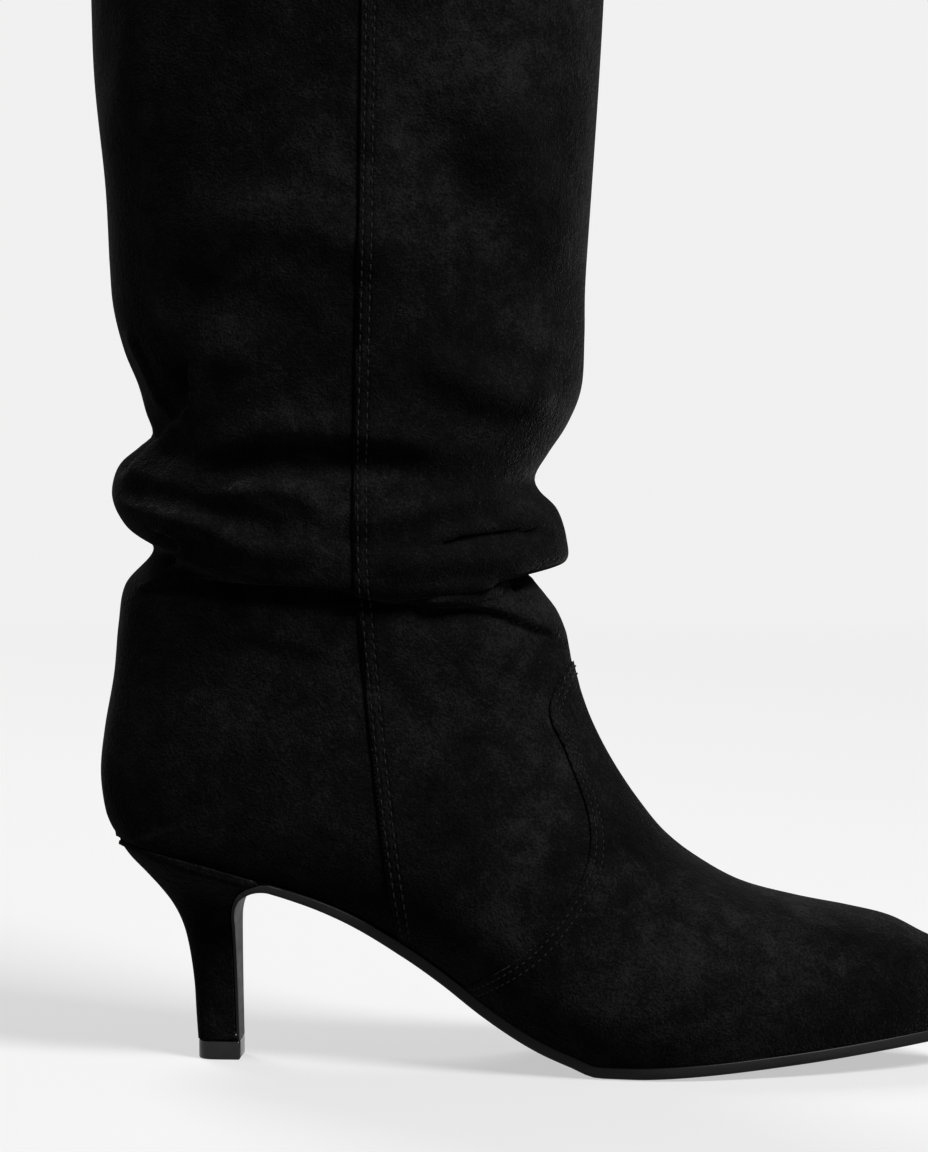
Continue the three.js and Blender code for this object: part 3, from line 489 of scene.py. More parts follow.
OUTER_FOLDS = (
    # the crease all along the ankle, where the slouch hangs over the foot
    fold(((-23, 131), (-10, 135), (6, 135.5), (27, 135), (40, 133.5), (52, 130.5),
          (66, 129), (78, 127), (88, 122.5), (98, 117)),
         1.9, -1.5, 12, 10, 0.5, 0.6, 0.08),
    # where the fold's right end is filled out between the crease and the notch at the front
    fold(((58, 128.8), (66, 130.8), (74, 132.6), (81, 134.2)), 3.6, 3.2, 4.5, 4, 0, 1, 0.2),
    # the rim of the upper fold, with a deep hollow below it
    fold(((-8, 165), (2, 170.5), (12, 175), (24, 176.5), (38, 176), (56, 174), (74, 170)),
         2.2, 1.5, 10, 6, 0.3, 0.5, 0.25),
    wave(((-6, 159.5), (6, 164), (20, 166), (38, 166.5), (56, 165), (72, 162)), -3.4, 9, 5, 0.25),
    # the hollow that runs down from the back
    wave(((-29, 160.5), (-8, 157.5), (8, 153.5), (26, 148)), -2, 6, 5, 0.15),
    wave(((0, 162), (14, 162), (24, 161), (31, 157.5), (38, 151)), 2.4, 6, 7, 0.25),
    wave(((-18, 154), (-5, 152), (4, 149), (14, 145), (26, 144.5), (38, 146)), 1.9, 5, 6, 0.2),
    # the pinched dimple at the back
    fold(((-15, 148.5), (-10, 146.5), (-8.5, 143), (-11, 138)), 0.9, -2.6, 4, 6, 0, 0.5, 0.15),
    # the long ridge ahead of the side seam, and the short crease and bulge under it
    wave(((38, 149), (46, 152.5), (55, 154.5), (66, 157.5), (76, 159), (84, 158)), 2.4, 7, 6, 0.2),
    fold(((62, 145.5), (69, 148.3), (76, 149.7), (85, 150.2), (94, 149.5)),
         0.8, -2, 4, 5.5, 0.9, 0.45, 0.2),
    wave(((44, 141), (60, 141.5), (78, 142), (94, 143)), 2, 5, 6, 0.2),
    # the pocket behind the notch at the front
    fold(((88, 137.5), (83.5, 136.5), (82, 133.5), (84, 130.5)), -2.4, 0.8, 5, 4, 0, 0.45, 0.15),
    wave(((83, 131.5), (88, 130.2), (94, 127.5)), 1, 2.2, 2.6, 0.25),
    # the fold at the back that closes over a pocket
    fold(((-4, 199), (-5, 192), (-5, 186.5), (-7.5, 181.5), (-12.5, 177), (-20, 170.5), (-27, 163)),
         1.2, -3.4, 7, 9, 0, 0.5, 0.14),
    fold(((-24, 205), (-20.5, 199), (-17, 192), (-14, 185), (-13, 178)), -0.4, 1.2, 3, 4, 0, 0.5, 0.2),
    # soft waves of the shaft
    wave(((58, 199), (68, 193), (80, 187), (98, 186)), 3.6, 9, 9, 0.25),
    wave(((-18, 213), (8, 211), (34, 206)), -2.2, 12, 9, 0.3),
    wave(((-8, 199), (8, 197), (24, 194)), 1, 7, 7, 0.3),
    wave(((-4, 228), (18, 234), (40, 229), (62, 219)), 3.2, 13, 12, 0.3),
    wave(((72, 284), (82, 262), (91, 238), (95, 214)), 3, 12, 14, 0.25),
    wave(((52, 272), (66, 250), (78, 228)), -3, 12, 14, 0.3),
    wave(((44, 292), (28, 274), (8, 252), (-14, 230)), -2.6, 11, 12, 0.3),
    wave(((-14, 300), (-19, 276), (-23, 250)), 1.8, 12, 12, 0.3),
    wave(((20, 345), (34, 322), (56, 306), (80, 300)), 1.8, 16, 14, 0.3),
    wave(((-16, 350), (6, 362), (40, 360), (78, 372)), -1.6, 18, 16, 0.3),
    # soft pulls on the foot
    wave(((4, 119), (20, 115), (38, 110)), -1, 5, 5, 0.3),
    wave(((-16, 100), (4, 94), (24, 84)), 0.8, 12, 12, 0.3),
    wave(((118, 52), (132, 40), (150, 26)), -0.7, 7, 7, 0.3),
)

INNER_FOLDS = (
    fold(((-23, 131), (-4, 134.5), (20, 135), (44, 131.5), (66, 129.5), (86, 123.5), (98, 117)),
         2.2, -1.6, 12, 9, 0.9, 0.5, 0.1),
    fold(((-10, 167), (8, 173), (30, 176.5), (52, 174), (76, 168)), 0.6, -2.2, 6, 13, 0.5, 1.4, 0.2),
    wave(((-20, 155), (0, 151), (22, 146), (44, 147)), 1.8, 6, 6, 0.2),
    wave(((4, 161), (26, 160), (48, 154), (70, 157), (84, 158)), 2, 7, 6, 0.2),
    fold(((50, 143), (70, 147.5), (92, 148.5)), 0.8, -1.8, 5, 6, 0.8, 0.6, 0.2),
    fold(((-6, 196), (-6, 187), (-13, 177), (-26, 165)), 1, -2.8, 7, 9, 0, 0.7, 0.16),
    wave(((-10, 215), (20, 222), (52, 212), (80, 192)), 1.6, 13, 12, 0.3),
    wave(((6, 262), (34, 250), (66, 256)), -1.4, 14, 14, 0.3),
)

# Panels of the upper: how thick, how far their rounded edges reach, how far one lies under the next,
# and how far their lower edge stays above the feather line
SUEDE_THICKNESS = 0.58
EDGE_REACH = 0.3
LOOP_REACH = 0.8
LAP = 3.2
FEATHER_GAP = -0.25
PANEL_SOFTNESS = 10

# The collar's turned edge
COLLAR_ROLL = 1.3
COLLAR_TURN = 10
COLLAR_GAP = 0.3

# The lining: its distance from the suede, and the heights between which it stays inside the folds
LINING_LEVEL = 2.3
LINING_THICKNESS = 0.5
LINING_EDGE = 0.4
LINING_FEATHER = 0.6
LINING_LAP = 2
LINING_SOFTNESS = 16
LINING_PASSES = 6
NARROW_REACH = 10
NARROW_PASSES = 8
FOLDS_BELOW = 108
FOLDS_ABOVE = 222
FOLDS_START = 12
FOLDS_END = 20

# Stitch rows: distance from the panel's edge and from stitch to stitch, and the share of that a stitch fills
SIDE_STITCH_ROWS = (1.6, 3.9)
SIDE_STITCH_PITCH = 2.9
SIDE_STITCH_SHARE = 0.72
VAMP_STITCH_ROWS = (1.9, 4.1)
VAMP_STITCH_PITCH = 2.2
VAMP_STITCH_SHARE = 0.7
THREAD_THICKNESS = 0.52
STITCHES_OVER_SOLE = 1.6
STITCHES_UNDER_COLLAR = 3
GROOVE_WIDTH = 0.9
GROOVE_SOFTNESS = 0.4

# Sole and heel: the cover's thickness and edge, the joint between pieces, the board on top of the heel,
# and the tip's bevels
HEEL_COVER = 0.9
HEEL_EDGE = 0.16
JOINT = 0.06
SEAT_INSET = 0.5
BOARD_INSET = 1
BOARD_DEPTH = 1
BOARD_START = 2
BOARD_END = 0.2
BOARD_TAPER = 0.9
SOLE_TOP_EDGE = 0.35
SOLE_LOW_EDGE = 0.3
LEAST_HALF = 0.4
TIP_BEVEL = 0.5
TIP_TOP_BEVEL = 0.25

# The sock: how far it stays inside the sole's edge and the toe, its dip, rim and lower side
SOCK_INSET = 4.3
SOCK_TOE_GAP = 16
SOCK_DIP = 0.2
SOCK_RIM = 0.4
SOCK_UNDERSIDE = 0.2
SOCK_END_POWER = 40
SOCK_LEAST = 0.3

# The camera, in degrees and millimetres, and how far it sees in metres
AZIMUTH = 4.1
ELEVATION = 3.6
DISTANCE = 1500
LOOK_AT = (68.3, 0, 135.2)
LENS = 168.75
SENSOR = 36
FARTHEST = 50

# Light: name, place and target in metres, size in metres, power in watts
WORLD_LIGHT = 0.16
CONTRAST = 0.8
LIGHTS = (
    ("key", (1.9, -1.6, 2.3), (0.05, 0, 0.15), (1.1, 1.1), 220),
    ("rim", (-0.7, 1.2, 1.6), (0.05, 0, 0.1), (0.6, 1.0), 40),
)

# The floor in metres: its flat middle, the curve up into the wall, and the wall's top; and its tones, from
# near the boot, where it takes light and shadow, to further off, where it has one pale tone
FLOOR_FLAT = 4.0
FLOOR_TURN = 1.4
WALL_TOP = 4.0
FLOOR_SIDES = 96
FLOOR_STEPS = 16
PALE = 0.9
FLOOR_SHARE = 0.16
FLOOR_LIT = 0.3
FLOOR_SPAN = 3.0
FLOOR_NEAR = 0.1
FLOOR_FAR = 0.6

# Patterns are noise: scale, detail, roughness, distortion. Tones are stops of a ramp: place and tone.
# Depths of bumps are in metres.
SUEDE_PATCHES = (22, 4, 0.55, 0.8)
SUEDE_MOTTLE = (170, 4, 0.65, 0.3)
SUEDE_NAP = (1500, 2, 0.6)
SUEDE_PILE = (520, 3, 0.6)
PATCH_SHARE = 0.6
MOTTLE_SHARE = 0.4
NAP_SHARE = 0.5
SUEDE_TONES = ((0.34, 0.0022), (0.5, 0.0055), (0.66, 0.0155))
NAP_DEPTH = 0.0005
PILE_DEPTH = 0.0005
GROOVE_DEPTH = 0.0003
SUEDE_SURFACE = {
    "Roughness": 0.92, "Specular IOR Level": 0.03, "Sheen Weight": 0.08, "Sheen Roughness": 0.3,
}

THREAD_STRANDS = (2400, 2, 0.5, 0, (1, 1, 0.4))
THREAD_TONES = ((0.3, 0.004), (0.7, 0.012))
THREAD_DEPTH = 0.0001
THREAD_SURFACE = {"Roughness": 0.6, "Specular IOR Level": 0.15}

SOLE_STREAKS = (70, 4, 0.6, 0.3, (0.5, 1, 4))
SOLE_GRAIN = (900, 3, 0.6)
SOLE_TONES = ((0.3, 0.006), (0.7, 0.013))
SOLE_ROUGHNESS = ((0.3, 0.4), (0.7, 0.52))
SOLE_DEPTH = 0.00004
SOLE_SURFACE = {"Specular IOR Level": 0.2}

TIP_SCUFFS = (260, 4, 0.65, 0.5)
TIP_TONES = ((0.35, 0.006), (0.75, 0.014))
TIP_ROUGHNESS = ((0.4, 0.12), (0.75, 0.3))
TIP_DEPTH = 0.00003

LINING_GRAIN = (700, 4, 0.6)
LINING_WEAR = (40, 3, 0.5)
LINING_TONES = ((0.3, (0.009, 0.0085, 0.008)), (0.7, (0.016, 0.015, 0.014)))
LINING_DEPTH = 0.00008
LINING_SURFACE = {"Roughness": 0.62}

FLOOR_SURFACE = {"Emission Strength": 1, "Roughness": 0.9, "Specular IOR Level": 0}


def smoothstep(value):
    """0 below 0 and 1 above 1, with a smooth rise between them."""
    value = np.clip(value, 0, 1)
    return value * value * (3 - 2 * value)


def bell(value):
    """1 at 0, falling softly to 0 at 1."""
    return 0.5 + 0.5 * np.cos(np.pi * np.clip(value, 0, 1))


def folded(grid, normals, folds, sign):
    """How far each point of the grid moves for one side's folds, as vectors."""
    facing = smoothstep((sign * normals[..., 1] - FACING_START) / FACING_SPAN).ravel()
    places = grid[..., [0, 2]].reshape(-1, 2)
    move = np.zeros((len(places), 3))
    out = normals.reshape(-1, 3)
    chosen = facing > 0
    for crease in folds:
        curve = smooth_curve(crease["line"], CURVE_STEPS)
        margin = max(crease["reach_over"], crease["reach_under"]) + 1
        low, high = curve.min(0) - margin, curve.max(0) + margin
        near = chosen & np.all((places > low) & (places < high), axis=1)
        gap, share = side_distance(places[near], curve)
        ends = smoothstep(share / crease["fade"]) * smoothstep((1 - share) / crease["fade"])
        steep = np.clip(-gap / crease["crisp"] * STEP_SHARPNESS, -MOST_EXPONENT, MOST_EXPONENT)
        above = 1 / (1 + np.exp(steep))
        over = crease["over"] * bell(np.abs(gap) / crease["reach_over"])
        under = crease["under"] * bell(np.abs(gap) / crease["reach_under"])
        lift = (over * above + under * (1 - above)) * ends * facing[near]
        sink = crease["hang"] * bell(np.abs(gap) / crease["reach_over"]) * above * ends * facing[near]
        move[near] += out[near] * lift[:, None]
        move[near, 2] -= sink
    return move.reshape(grid.shape)


def respaced(grid, spacing):
    """The same surface with its rings at even distances, closer in the folds and further apart above."""
    size = grid.shape[1]
    watched = [0, size // 4, size // 2, 3 * size // 4]
    steps = np.linalg.norm(np.diff(grid[:, watched], axis=0), axis=2).max(1)
    height = grid[1:, :, 2].mean(1)
    close = bell((height - CREASE_HEIGHT) / CREASE_SPAN)
    calm = smoothstep((height - CALM_ABOVE) / CALM_SPAN)
    run = np.concatenate([[0], np.cumsum(steps * (1 + close) * (1 - CALM_SHARE * calm))])
    goals = np.linspace(0, run[-1], int(run[-1] / spacing) + 1)
    index = np.clip(np.searchsorted(run, goals) - 1, 0, len(run) - 2)
    t = ((goals - run[index]) / (run[index + 1] - run[index]))[:, None, None]
    return grid[index] * (1 - t) + grid[index + 1] * t


def eased(grid, middle, half):
    """Softens the grid along its length round one ring, where foot and shaft are joined."""
    count = 2 * (half // 3) + 1
    weights = np.hanning(count + 2)[1:-1]
    weights = weights / weights.sum()
    padded = np.concatenate([np.repeat(grid[:1], count // 2, 0), grid, np.repeat(grid[-1:], count // 2, 0)])
    soft = sum(w * padded[k:k + len(grid)] for k, w in enumerate(weights))
    near = bell(np.abs(np.arange(len(grid)) - middle) / half)[:, None, None]
    return grid * (1 - near) + soft * near


def upper_surface():
    """The grid of the upper's outside with its folds, and its distances from seams and feather."""
    plain = upper_rings(SIDE_POINTS, STEPS_PER_ROW)
    joint = int((len(FOOT_ROWS) - 0.5) * STEPS_PER_ROW)
    plain = respaced(eased(plain, joint, 3 * STEPS_PER_ROW), RING_SPACING)
    normals = ring_normals(plain)
    places = plain[..., [0, 2]].reshape(-1, 2)
    fields = {}
    for name, rows, keys, sizes in (
        ("side_seam", SIDE_SEAM, ("ahead", "up"), (ANKLE_DEPTH, BOOT_HEIGHT)),
        ("vamp_seam", VAMP_SEAM, ("along", "up"), (FOOT_LENGTH, INSTEP_HEIGHT)),
    ):
        start = COUNTER_BACK if name == "vamp_seam" else 0
        line = [(start + row[keys[0]] * sizes[0], row[keys[1]] * sizes[1]) for row in rows]
        gap, _ = side_distance(places, smooth_curve(line, SEAM_STEPS))
        fields[name] = on_surface(gap.reshape(plain.shape[:2]), plain, normals)
    fields["feather"] = above_feather(places).reshape(plain.shape[:2])
    folds = folded(plain, normals, OUTER_FOLDS, -1) + folded(plain, normals, INNER_FOLDS, 1)
    grid = plain + folds
    return grid, fields


def on_surface(gap, grid, normals):
    """A side-view distance as a distance along the surface, which may turn away from the side view."""
    level, least = 0.02, 0.35
    lean = 1 - np.clip(np.abs(normals[..., 1]), 0, 1)
    along_step = np.linalg.norm(np.gradient(grid, axis=0), axis=2)
    along = np.gradient(gap, axis=0) / np.maximum(along_step, TINY)
    round_step = np.linalg.norm(np.roll(grid, -1, 1) - np.roll(grid, 1, 1), axis=2)
    across = (np.roll(gap, -1, 1) - np.roll(gap, 1, 1)) / np.maximum(round_step, TINY)
    steep = np.clip(np.hypot(along, across), least, 1)
    return gap / np.where(lean > level, steep, 1)


def surface_mesh(grid, normals, fields, level, keep):
    """A panel cut from the grid, moved out by level. keep has field names, their signs and least values."""
    rings, size = grid.shape[:2]
    points = (grid + normals * level).reshape(-1, 3)
    flat = {name: values.ravel() for name, values in fields.items()}
    depth = np.min([flat[name] * sign - least for name, sign, least in keep], axis=0)
    i, j = np.meshgrid(np.arange(rings - 1), np.arange(size), indexing="ij")
    ahead = (j + 1) % size
    corners = np.stack([i * size + j, i * size + ahead, (i + 1) * size + ahead, (i + 1) * size + j], -1)
    corners = corners.reshape(-1, 4)
    inside = depth[corners] > 0
    faces = [tuple(face) for face in corners[inside.all(1)].tolist()]
    if depth[:size].min() > 0 and np.ptp(points[:size], axis=0).max() < CAP_WIDTH:
        faces.append(tuple(range(size))[::-1])
    crossed = corners[inside.any(1) & ~inside.all(1)]
    mixes, numbers = [], {}

    def crossing(a, b):
        if depth[a] <= 0:
            a, b = b, a
        t = depth[a] / (depth[a] - depth[b])
        if t < SHORT_CUT:
            return a
        if (a, b) not in numbers:
            numbers[(a, b)] = len(points) + len(mixes)
            mixes.append((a, b, t))
        return numbers[(a, b)]

    for face in crossed.tolist():
        for corner_set in ((0, 1, 2), (0, 2, 3)):
            triangle = [face[k] for k in corner_set]
            cut = []
            for k, a in enumerate(triangle):
                b = triangle[(k + 1) % 3]
                if depth[a] > 0:
                    cut.append(a)
                if (depth[a] > 0) != (depth[b] > 0):
                    cut.append(crossing(a, b))
            cut = [p for k, p in enumerate(cut) if p != cut[k - 1]]
            if len(cut) > 2:
                faces.append(tuple(cut))
    a, b, t = (np.array(part) for part in zip(*mixes))

    def with_cuts(values):
        share = t.reshape(-1, *[1] * (values.ndim - 1))
        return np.concatenate([values, values[a] * (1 - share) + values[b] * share])

    points, out = with_cuts(points), with_cuts(normals.reshape(-1, 3))
    out = unit(out)
    flat = {name: with_cuts(values) for name, values in flat.items()}
    return compact(points, out, faces, flat)


def compact(points, normals, faces, fields):
    """The same surface without its unused points."""
    used = np.zeros(len(points), bool)
    for face in faces:
        used[list(face)] = True
    place = np.cumsum(used) - 1
    faces = [tuple(int(place[v]) for v in face) for face in faces]
    return points[used], normals[used], faces, {name: values[used] for name, values in fields.items()}


def open_edges(faces):
    """The open edges of a surface as loops of point numbers, in its faces' direction."""
    edges = set()
    for face in faces:
        edges.update(zip(face, face[1:] + face[:1]))
    ahead = {}
    for a, b in edges:
        if (b, a) not in edges:
            ahead.setdefault(a, []).append(b)
    loops = []
    while ahead:
        start = min(ahead)
        loop, at = [], start
        while at in ahead:
            loop.append(at)
            after = ahead[at].pop()
            if not ahead[at]:
                del ahead[at]
            at = after
        if len(loop) > 2:
            loops.append(loop)
    return loops


def along_loop(points, reach):
    """Directions along a closed loop of points, smoothed over a reach."""
    closed = np.concatenate([points, points[:1]])
    run = run_along(closed)
    here, total = run[:-1], run[-1]
    ahead = at_run((here + reach) % total, run, closed)
    return unit(ahead - at_run((here - reach) % total, run, closed))


def shell(points, normals, faces, fields, thickness, reach=EDGE_REACH):
    """Gives a surface a thickness, with a rounded edge all round."""
    steps, roundness = 5, 0.7
    count = len(points)
    all_points = [points, points - normals * thickness]
    sources = [np.arange(count), np.arange(count)]
    all_faces = list(faces) + [tuple(v + count for v in reversed(face)) for face in faces]
    used = 2 * count
    for loop in open_edges(faces):
        loop = np.array(loop)
        out = unit(np.cross(along_loop(points[loop], LOOP_REACH), normals[loop]))
        rows = [loop]
        for k in range(1, steps):
            angle = math.pi * k / steps
            wide, down = reach * math.sin(angle) ** roundness, thickness * (1 - math.cos(angle)) / 2
            all_points.append(points[loop] + out * wide - normals[loop] * down)
            sources.append(loop)
            rows.append(np.arange(used, used + len(loop)))
            used += len(loop)
        rows.append(loop + count)
        for upper, lower in zip(rows, rows[1:]):
            upper_next, lower_next = np.roll(upper, -1), np.roll(lower, -1)
            around = (upper_next, upper, lower, lower_next)
            all_faces += list(zip(*(numbers.tolist() for numbers in around)))
    sources = np.concatenate(sources)
    return np.concatenate(all_points), all_faces, {name: values[sources] for name, values in fields.items()}


def volume(points, faces):
    """Six times the volume inside a closed mesh, negative where its faces point in."""
    total = 0.0
    by_length = {}
    for face in faces:
        by_length.setdefault(len(face), []).append(face)
    for length, some in by_length.items():
        corners = points[np.array(some)]
        for k in range(1, length - 1):
            total += (np.cross(corners[:, 0], corners[:, k]) * corners[:, k + 1]).sum()
    return total


def make_mesh(name, points, faces, fields=None, material=None, slot=None, replaces=()):
    """A smooth-shaded closed object from points in millimetres, riding on the boot."""
    points = np.asarray(points, float)
    if volume(points, faces) < 0:
        faces = [face[::-1] for face in faces]
    mesh = bpy.data.meshes.new(name)
    mesh.from_pydata((points * MM).tolist(), [], faces)
    mesh.polygons.foreach_set("use_smooth", [len(face) < 9 for face in faces])
    for field, values in (fields or {}).items():
        attribute = mesh.attributes.new(field, "FLOAT", "POINT")
        attribute.data.foreach_set("value", np.asarray(values, np.float32))
    mesh.update()
    piece = bpy.data.objects.new(name, mesh)
    bpy.context.scene.collection.objects.link(piece)
    mesh.materials.append(material)
    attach(piece, "root")
    if replaces:
        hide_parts(*replaces)
    return piece


def loft_faces(rings, size):
    """Quads between rings of equally many points."""
    faces = []
    for i in range(rings - 1):
        for j in range(size):
            after = (j + 1) % size
            faces.append((i * size + j, i * size + after, (i + 1) * size + after, (i + 1) * size + j))
    return faces


def capped(rings):
    """A closed body through rings of points, with a flat face at each end, as points and faces."""
    count, size = len(rings), len(rings[0])
    ends = [tuple(range(size))[::-1], tuple((count - 1) * size + j for j in range(size))]
    return np.array(rings).reshape(-1, 3), loft_faces(count, size) + ends


def rolled_top(grid, fields):
    """The grid with its collar turned over and down inside by COLLAR_TURN."""
    low = grid[:, :, 2].mean(1) < BOOT_HEIGHT - COLLAR_ROLL - COLLAR_GAP
    body = grid[low]
    top = grid[-1].copy()
    middle = top.mean(0)
    ahead, behind = np.roll(top, -1, axis=0), np.roll(top, 1, axis=0)
    out = unit(np.cross(ahead - behind, [0, 0, 1]))
    out *= np.sign(((top - middle) * out).sum(1, keepdims=True))
    base = top - [0, 0, COLLAR_ROLL]
    turn_steps, down_steps = 9, 8
    extra = []
    for k in range(turn_steps + 1):
        angle = math.pi * k / turn_steps
        rise = [0, 0, COLLAR_ROLL * math.sin(angle)]
        extra.append(base - out * COLLAR_ROLL * (1 - math.cos(angle)) + rise)
    for k in range(1, down_steps + 1):
        extra.append(extra[turn_steps] - [0, 0, COLLAR_TURN * k / down_steps])
    longer = np.concatenate([body, extra])
    wider = {}
    for name, values in fields.items():
        last = values[-1:]
        wider[name] = np.concatenate([values[low], np.repeat(last, len(extra), 0)])
    return longer, wider


def make_upper(suede, thread, lining):
    """Vamp, front panel, back panel, lining and stitches, all on one surface."""
    grid, fields = upper_surface()
    rolled, rolled_fields = rolled_top(grid, fields)
    normals = soft_normals(rolled, PANEL_SOFTNESS)
    feather = ("feather", 1, EDGE_REACH + FEATHER_GAP)
    panels = (
        ("back_panel", "upper", -SEAM_STEP, [("side_seam", -1, -LAP), feather]),
        ("front_panel", "upper", 0, [("side_seam", 1, EDGE_REACH), ("vamp_seam", -1, -LAP), feather]),
        ("vamp_panel", "vamp", VAMP_STEP, [("vamp_seam", 1, EDGE_REACH), feather]),
    )
    for name, node, level, keep in panels:
        surface = surface_mesh(rolled, normals, rolled_fields, level, keep)
        points, faces, carried = shell(*surface, SUEDE_THICKNESS)
        make_mesh(name, points, faces, carried, suede, "suede", (node,))
    make_lining(grid, fields, lining)
    make_stitches(grid, fields, thread)


def make_lining(grid, fields, lining):
    """The lining inside, from under the turned collar down to the insole."""
    height = grid[:, :, 2].mean(1)
    low = height < BOOT_HEIGHT - COLLAR_ROLL - COLLAR_TURN + LINING_LAP
    normals = soft_normals(grid, LINING_SOFTNESS)
    soft = softened(grid, LINING_PASSES)
    outward = ((soft - grid) * normals).sum(-1, keepdims=True)
    inside = soft - normals * (np.maximum(outward, 0) + LINING_LEVEL)
    folds = smoothstep((height - FOLDS_BELOW) / FOLDS_START) * smoothstep((FOLDS_ABOVE - height) / FOLDS_END)
    inside += (narrowest(grid) - inside) * folds[:, None, None]
    coarse = {name: values[low][::2, ::2] for name, values in fields.items()}
    keep = [("feather", 1, LINING_FEATHER)]
    surface = surface_mesh(inside[low][::2, ::2], normals[low][::2, ::2], coarse, 0, keep)
    points, faces, _ = shell(*surface, LINING_THICKNESS, LINING_EDGE)
    make_mesh("lining", points, faces, None, lining, "sock", ("upper",))


def narrowest(grid):
    """The surface that stays inside the tightest of the nearby rings, so that it clears the folds."""
    reach = NARROW_REACH
    middle = grid.mean(1, keepdims=True)
    off = grid - middle
    wide = np.hypot(off[..., 0], off[..., 1])
    padded = np.pad(wide, ((reach, reach), (0, 0)), mode="edge")
    tight = np.min([padded[k:k + len(grid)] for k in range(2 * reach + 1)], axis=0)
    tight = softened(tight[..., None], NARROW_PASSES)
    return middle + off * np.clip((tight - LINING_LEVEL) / wide[..., None], 0, 1)


def isoline(grid, normals, field, level, side):
    """Where a field has one value on the outer or the inner side, as ordered points and normals."""
    size = grid.shape[1]
    half = (size - 1) // 2
    columns = np.arange(0, half + 1) if side == "outer" else np.append(np.arange(half + 1, size), 0)
    values = field[:, columns] - level
    points, out = grid[:, columns].reshape(-1, 3), normals[:, columns].reshape(-1, 3)
    flat = values.ravel()
    rings, width = values.shape
    sign = values > 0
    mixed = (sign[:-1, :-1] != sign[1:, :-1]) | (sign[:-1, :-1] != sign[:-1, 1:]) | (
        sign[:-1, :-1] != sign[1:, 1:])
    links = {}
    for i, j in zip(*np.nonzero(mixed)):
        a, b, c, d = i * width + j, i * width + j + 1, (i + 1) * width + j + 1, (i + 1) * width + j
        for triangle in ((a, b, c), (a, c, d)):
            ends = []
            for k in range(3):
                p, q = triangle[k], triangle[(k + 1) % 3]
                if (flat[p] > 0) != (flat[q] > 0):
                    ends.append((min(p, q), max(p, q)))
            if len(ends) == 2:
                links.setdefault(ends[0], []).append(ends[1])
                links.setdefault(ends[1], []).append(ends[0])
    chains, seen = [], set()
    for start in [key for key, others in links.items() if len(others) == 1]:
        if start in seen:
            continue
        chain, at = [], start
        while at is not None:
            chain.append(at)
            seen.add(at)
            at = next((key for key in links[at] if key not in seen), None)
        chains.append(chain)
    chain = max(chains, key=len)
    p, q = np.array(chain).T
    t = (flat[p] / (flat[p] - flat[q]))[:, None]
    return points[p] * (1 - t) + points[q] * t, out[p] * (1 - t) + out[q] * t


def spaced(points, normals, pitch, offset=0.0):
    """Places along a line of points at a pitch, with their normals and directions."""
    run = run_along(points)
    goals = np.arange(pitch * (0.5 + offset), run[-1] - pitch / 2, pitch)
    along = unit(at_run(goals + pitch / 3, run, points) - at_run(goals - pitch / 3, run, points))
    return at_run(goals, run, points), at_run(goals, run, normals), along


def thread_stitch():
    """One stitch along X as points and faces, its ends dipping into the leather."""
    count, around = 7, 6
    taper, rise, dip = 0.55, 0.25, 0.75
    rings = []
    for i in range(count):
        x = -1 + 2 * i / (count - 1)
        radius = 0.5 * (1 - abs(x) ** 3 * taper)
        up = rise - dip * abs(x) ** 3
        angles = [2 * math.pi * j / around for j in range(around)]
        rings.append([(x, radius * math.cos(angle), up + radius * math.sin(angle)) for angle in angles])
    return capped(rings)


def stitch_mesh(places, normals, along, length, thickness):
    """Copies of one stitch laid along a row."""
    shape, faces = thread_stitch()
    across = unit(np.cross(normals, along))
    up = np.cross(along, across)
    points = (
        places[:, None]
        + shape[None, :, :1] * along[:, None] * length / 2
        + shape[None, :, 1:2] * across[:, None] * thickness
        + shape[None, :, 2:] * up[:, None] * thickness
    )
    count = len(shape)
    copies = [tuple(v + k * count for v in face) for k in range(len(places)) for face in faces]
    return points.reshape(-1, 3), copies


def join(parts):
    """Several lists of points and faces as one."""
    points, faces, start = [], [], 0
    for some, more in parts:
        points.append(some)
        faces += [tuple(v + start for v in face) for face in more]
        start += len(some)
    return np.concatenate(points), faces


def make_stitches(grid, fields, thread):
    """Two rows of stitches along the side seam and along the vamp's edge, on both sides of the foot."""
    normals = soft_normals(grid, PANEL_SOFTNESS)
    rows = (
        ("side_stitches", "side_seam", SIDE_STITCH_ROWS, SIDE_STITCH_PITCH, 0, SIDE_STITCH_SHARE),
        ("vamp_stitches", "vamp_seam", VAMP_STITCH_ROWS, VAMP_STITCH_PITCH, VAMP_STEP, VAMP_STITCH_SHARE),
    )
    for name, field, offsets, pitch, level, share in rows:
        parts = []
        for k, offset in enumerate(offsets):
            for side in ("outer", "inner"):
                line, out = isoline(grid, normals, fields[field], offset, side)
                places, ups, along = spaced(line, out, pitch, 0.5 * k)
                places = places + ups * level
                clear = stitch_clear(places)
                parts.append(stitch_mesh(
                    places[clear], ups[clear], along[clear], pitch * share, THREAD_THICKNESS))
        points, faces = join(parts)
        make_mesh(name, points, faces, None, thread, "suede")


def stitch_clear(places):
    """Which stitches lie above the sole and below the collar."""
    height = np.interp(places[:, 0], FEATHER_X, FEATHER_Z)
    over_sole = places[:, 2] > height + STITCHES_OVER_SOLE
    return over_sole & (places[:, 2] < BOOT_HEIGHT - STITCHES_UNDER_COLLAR)


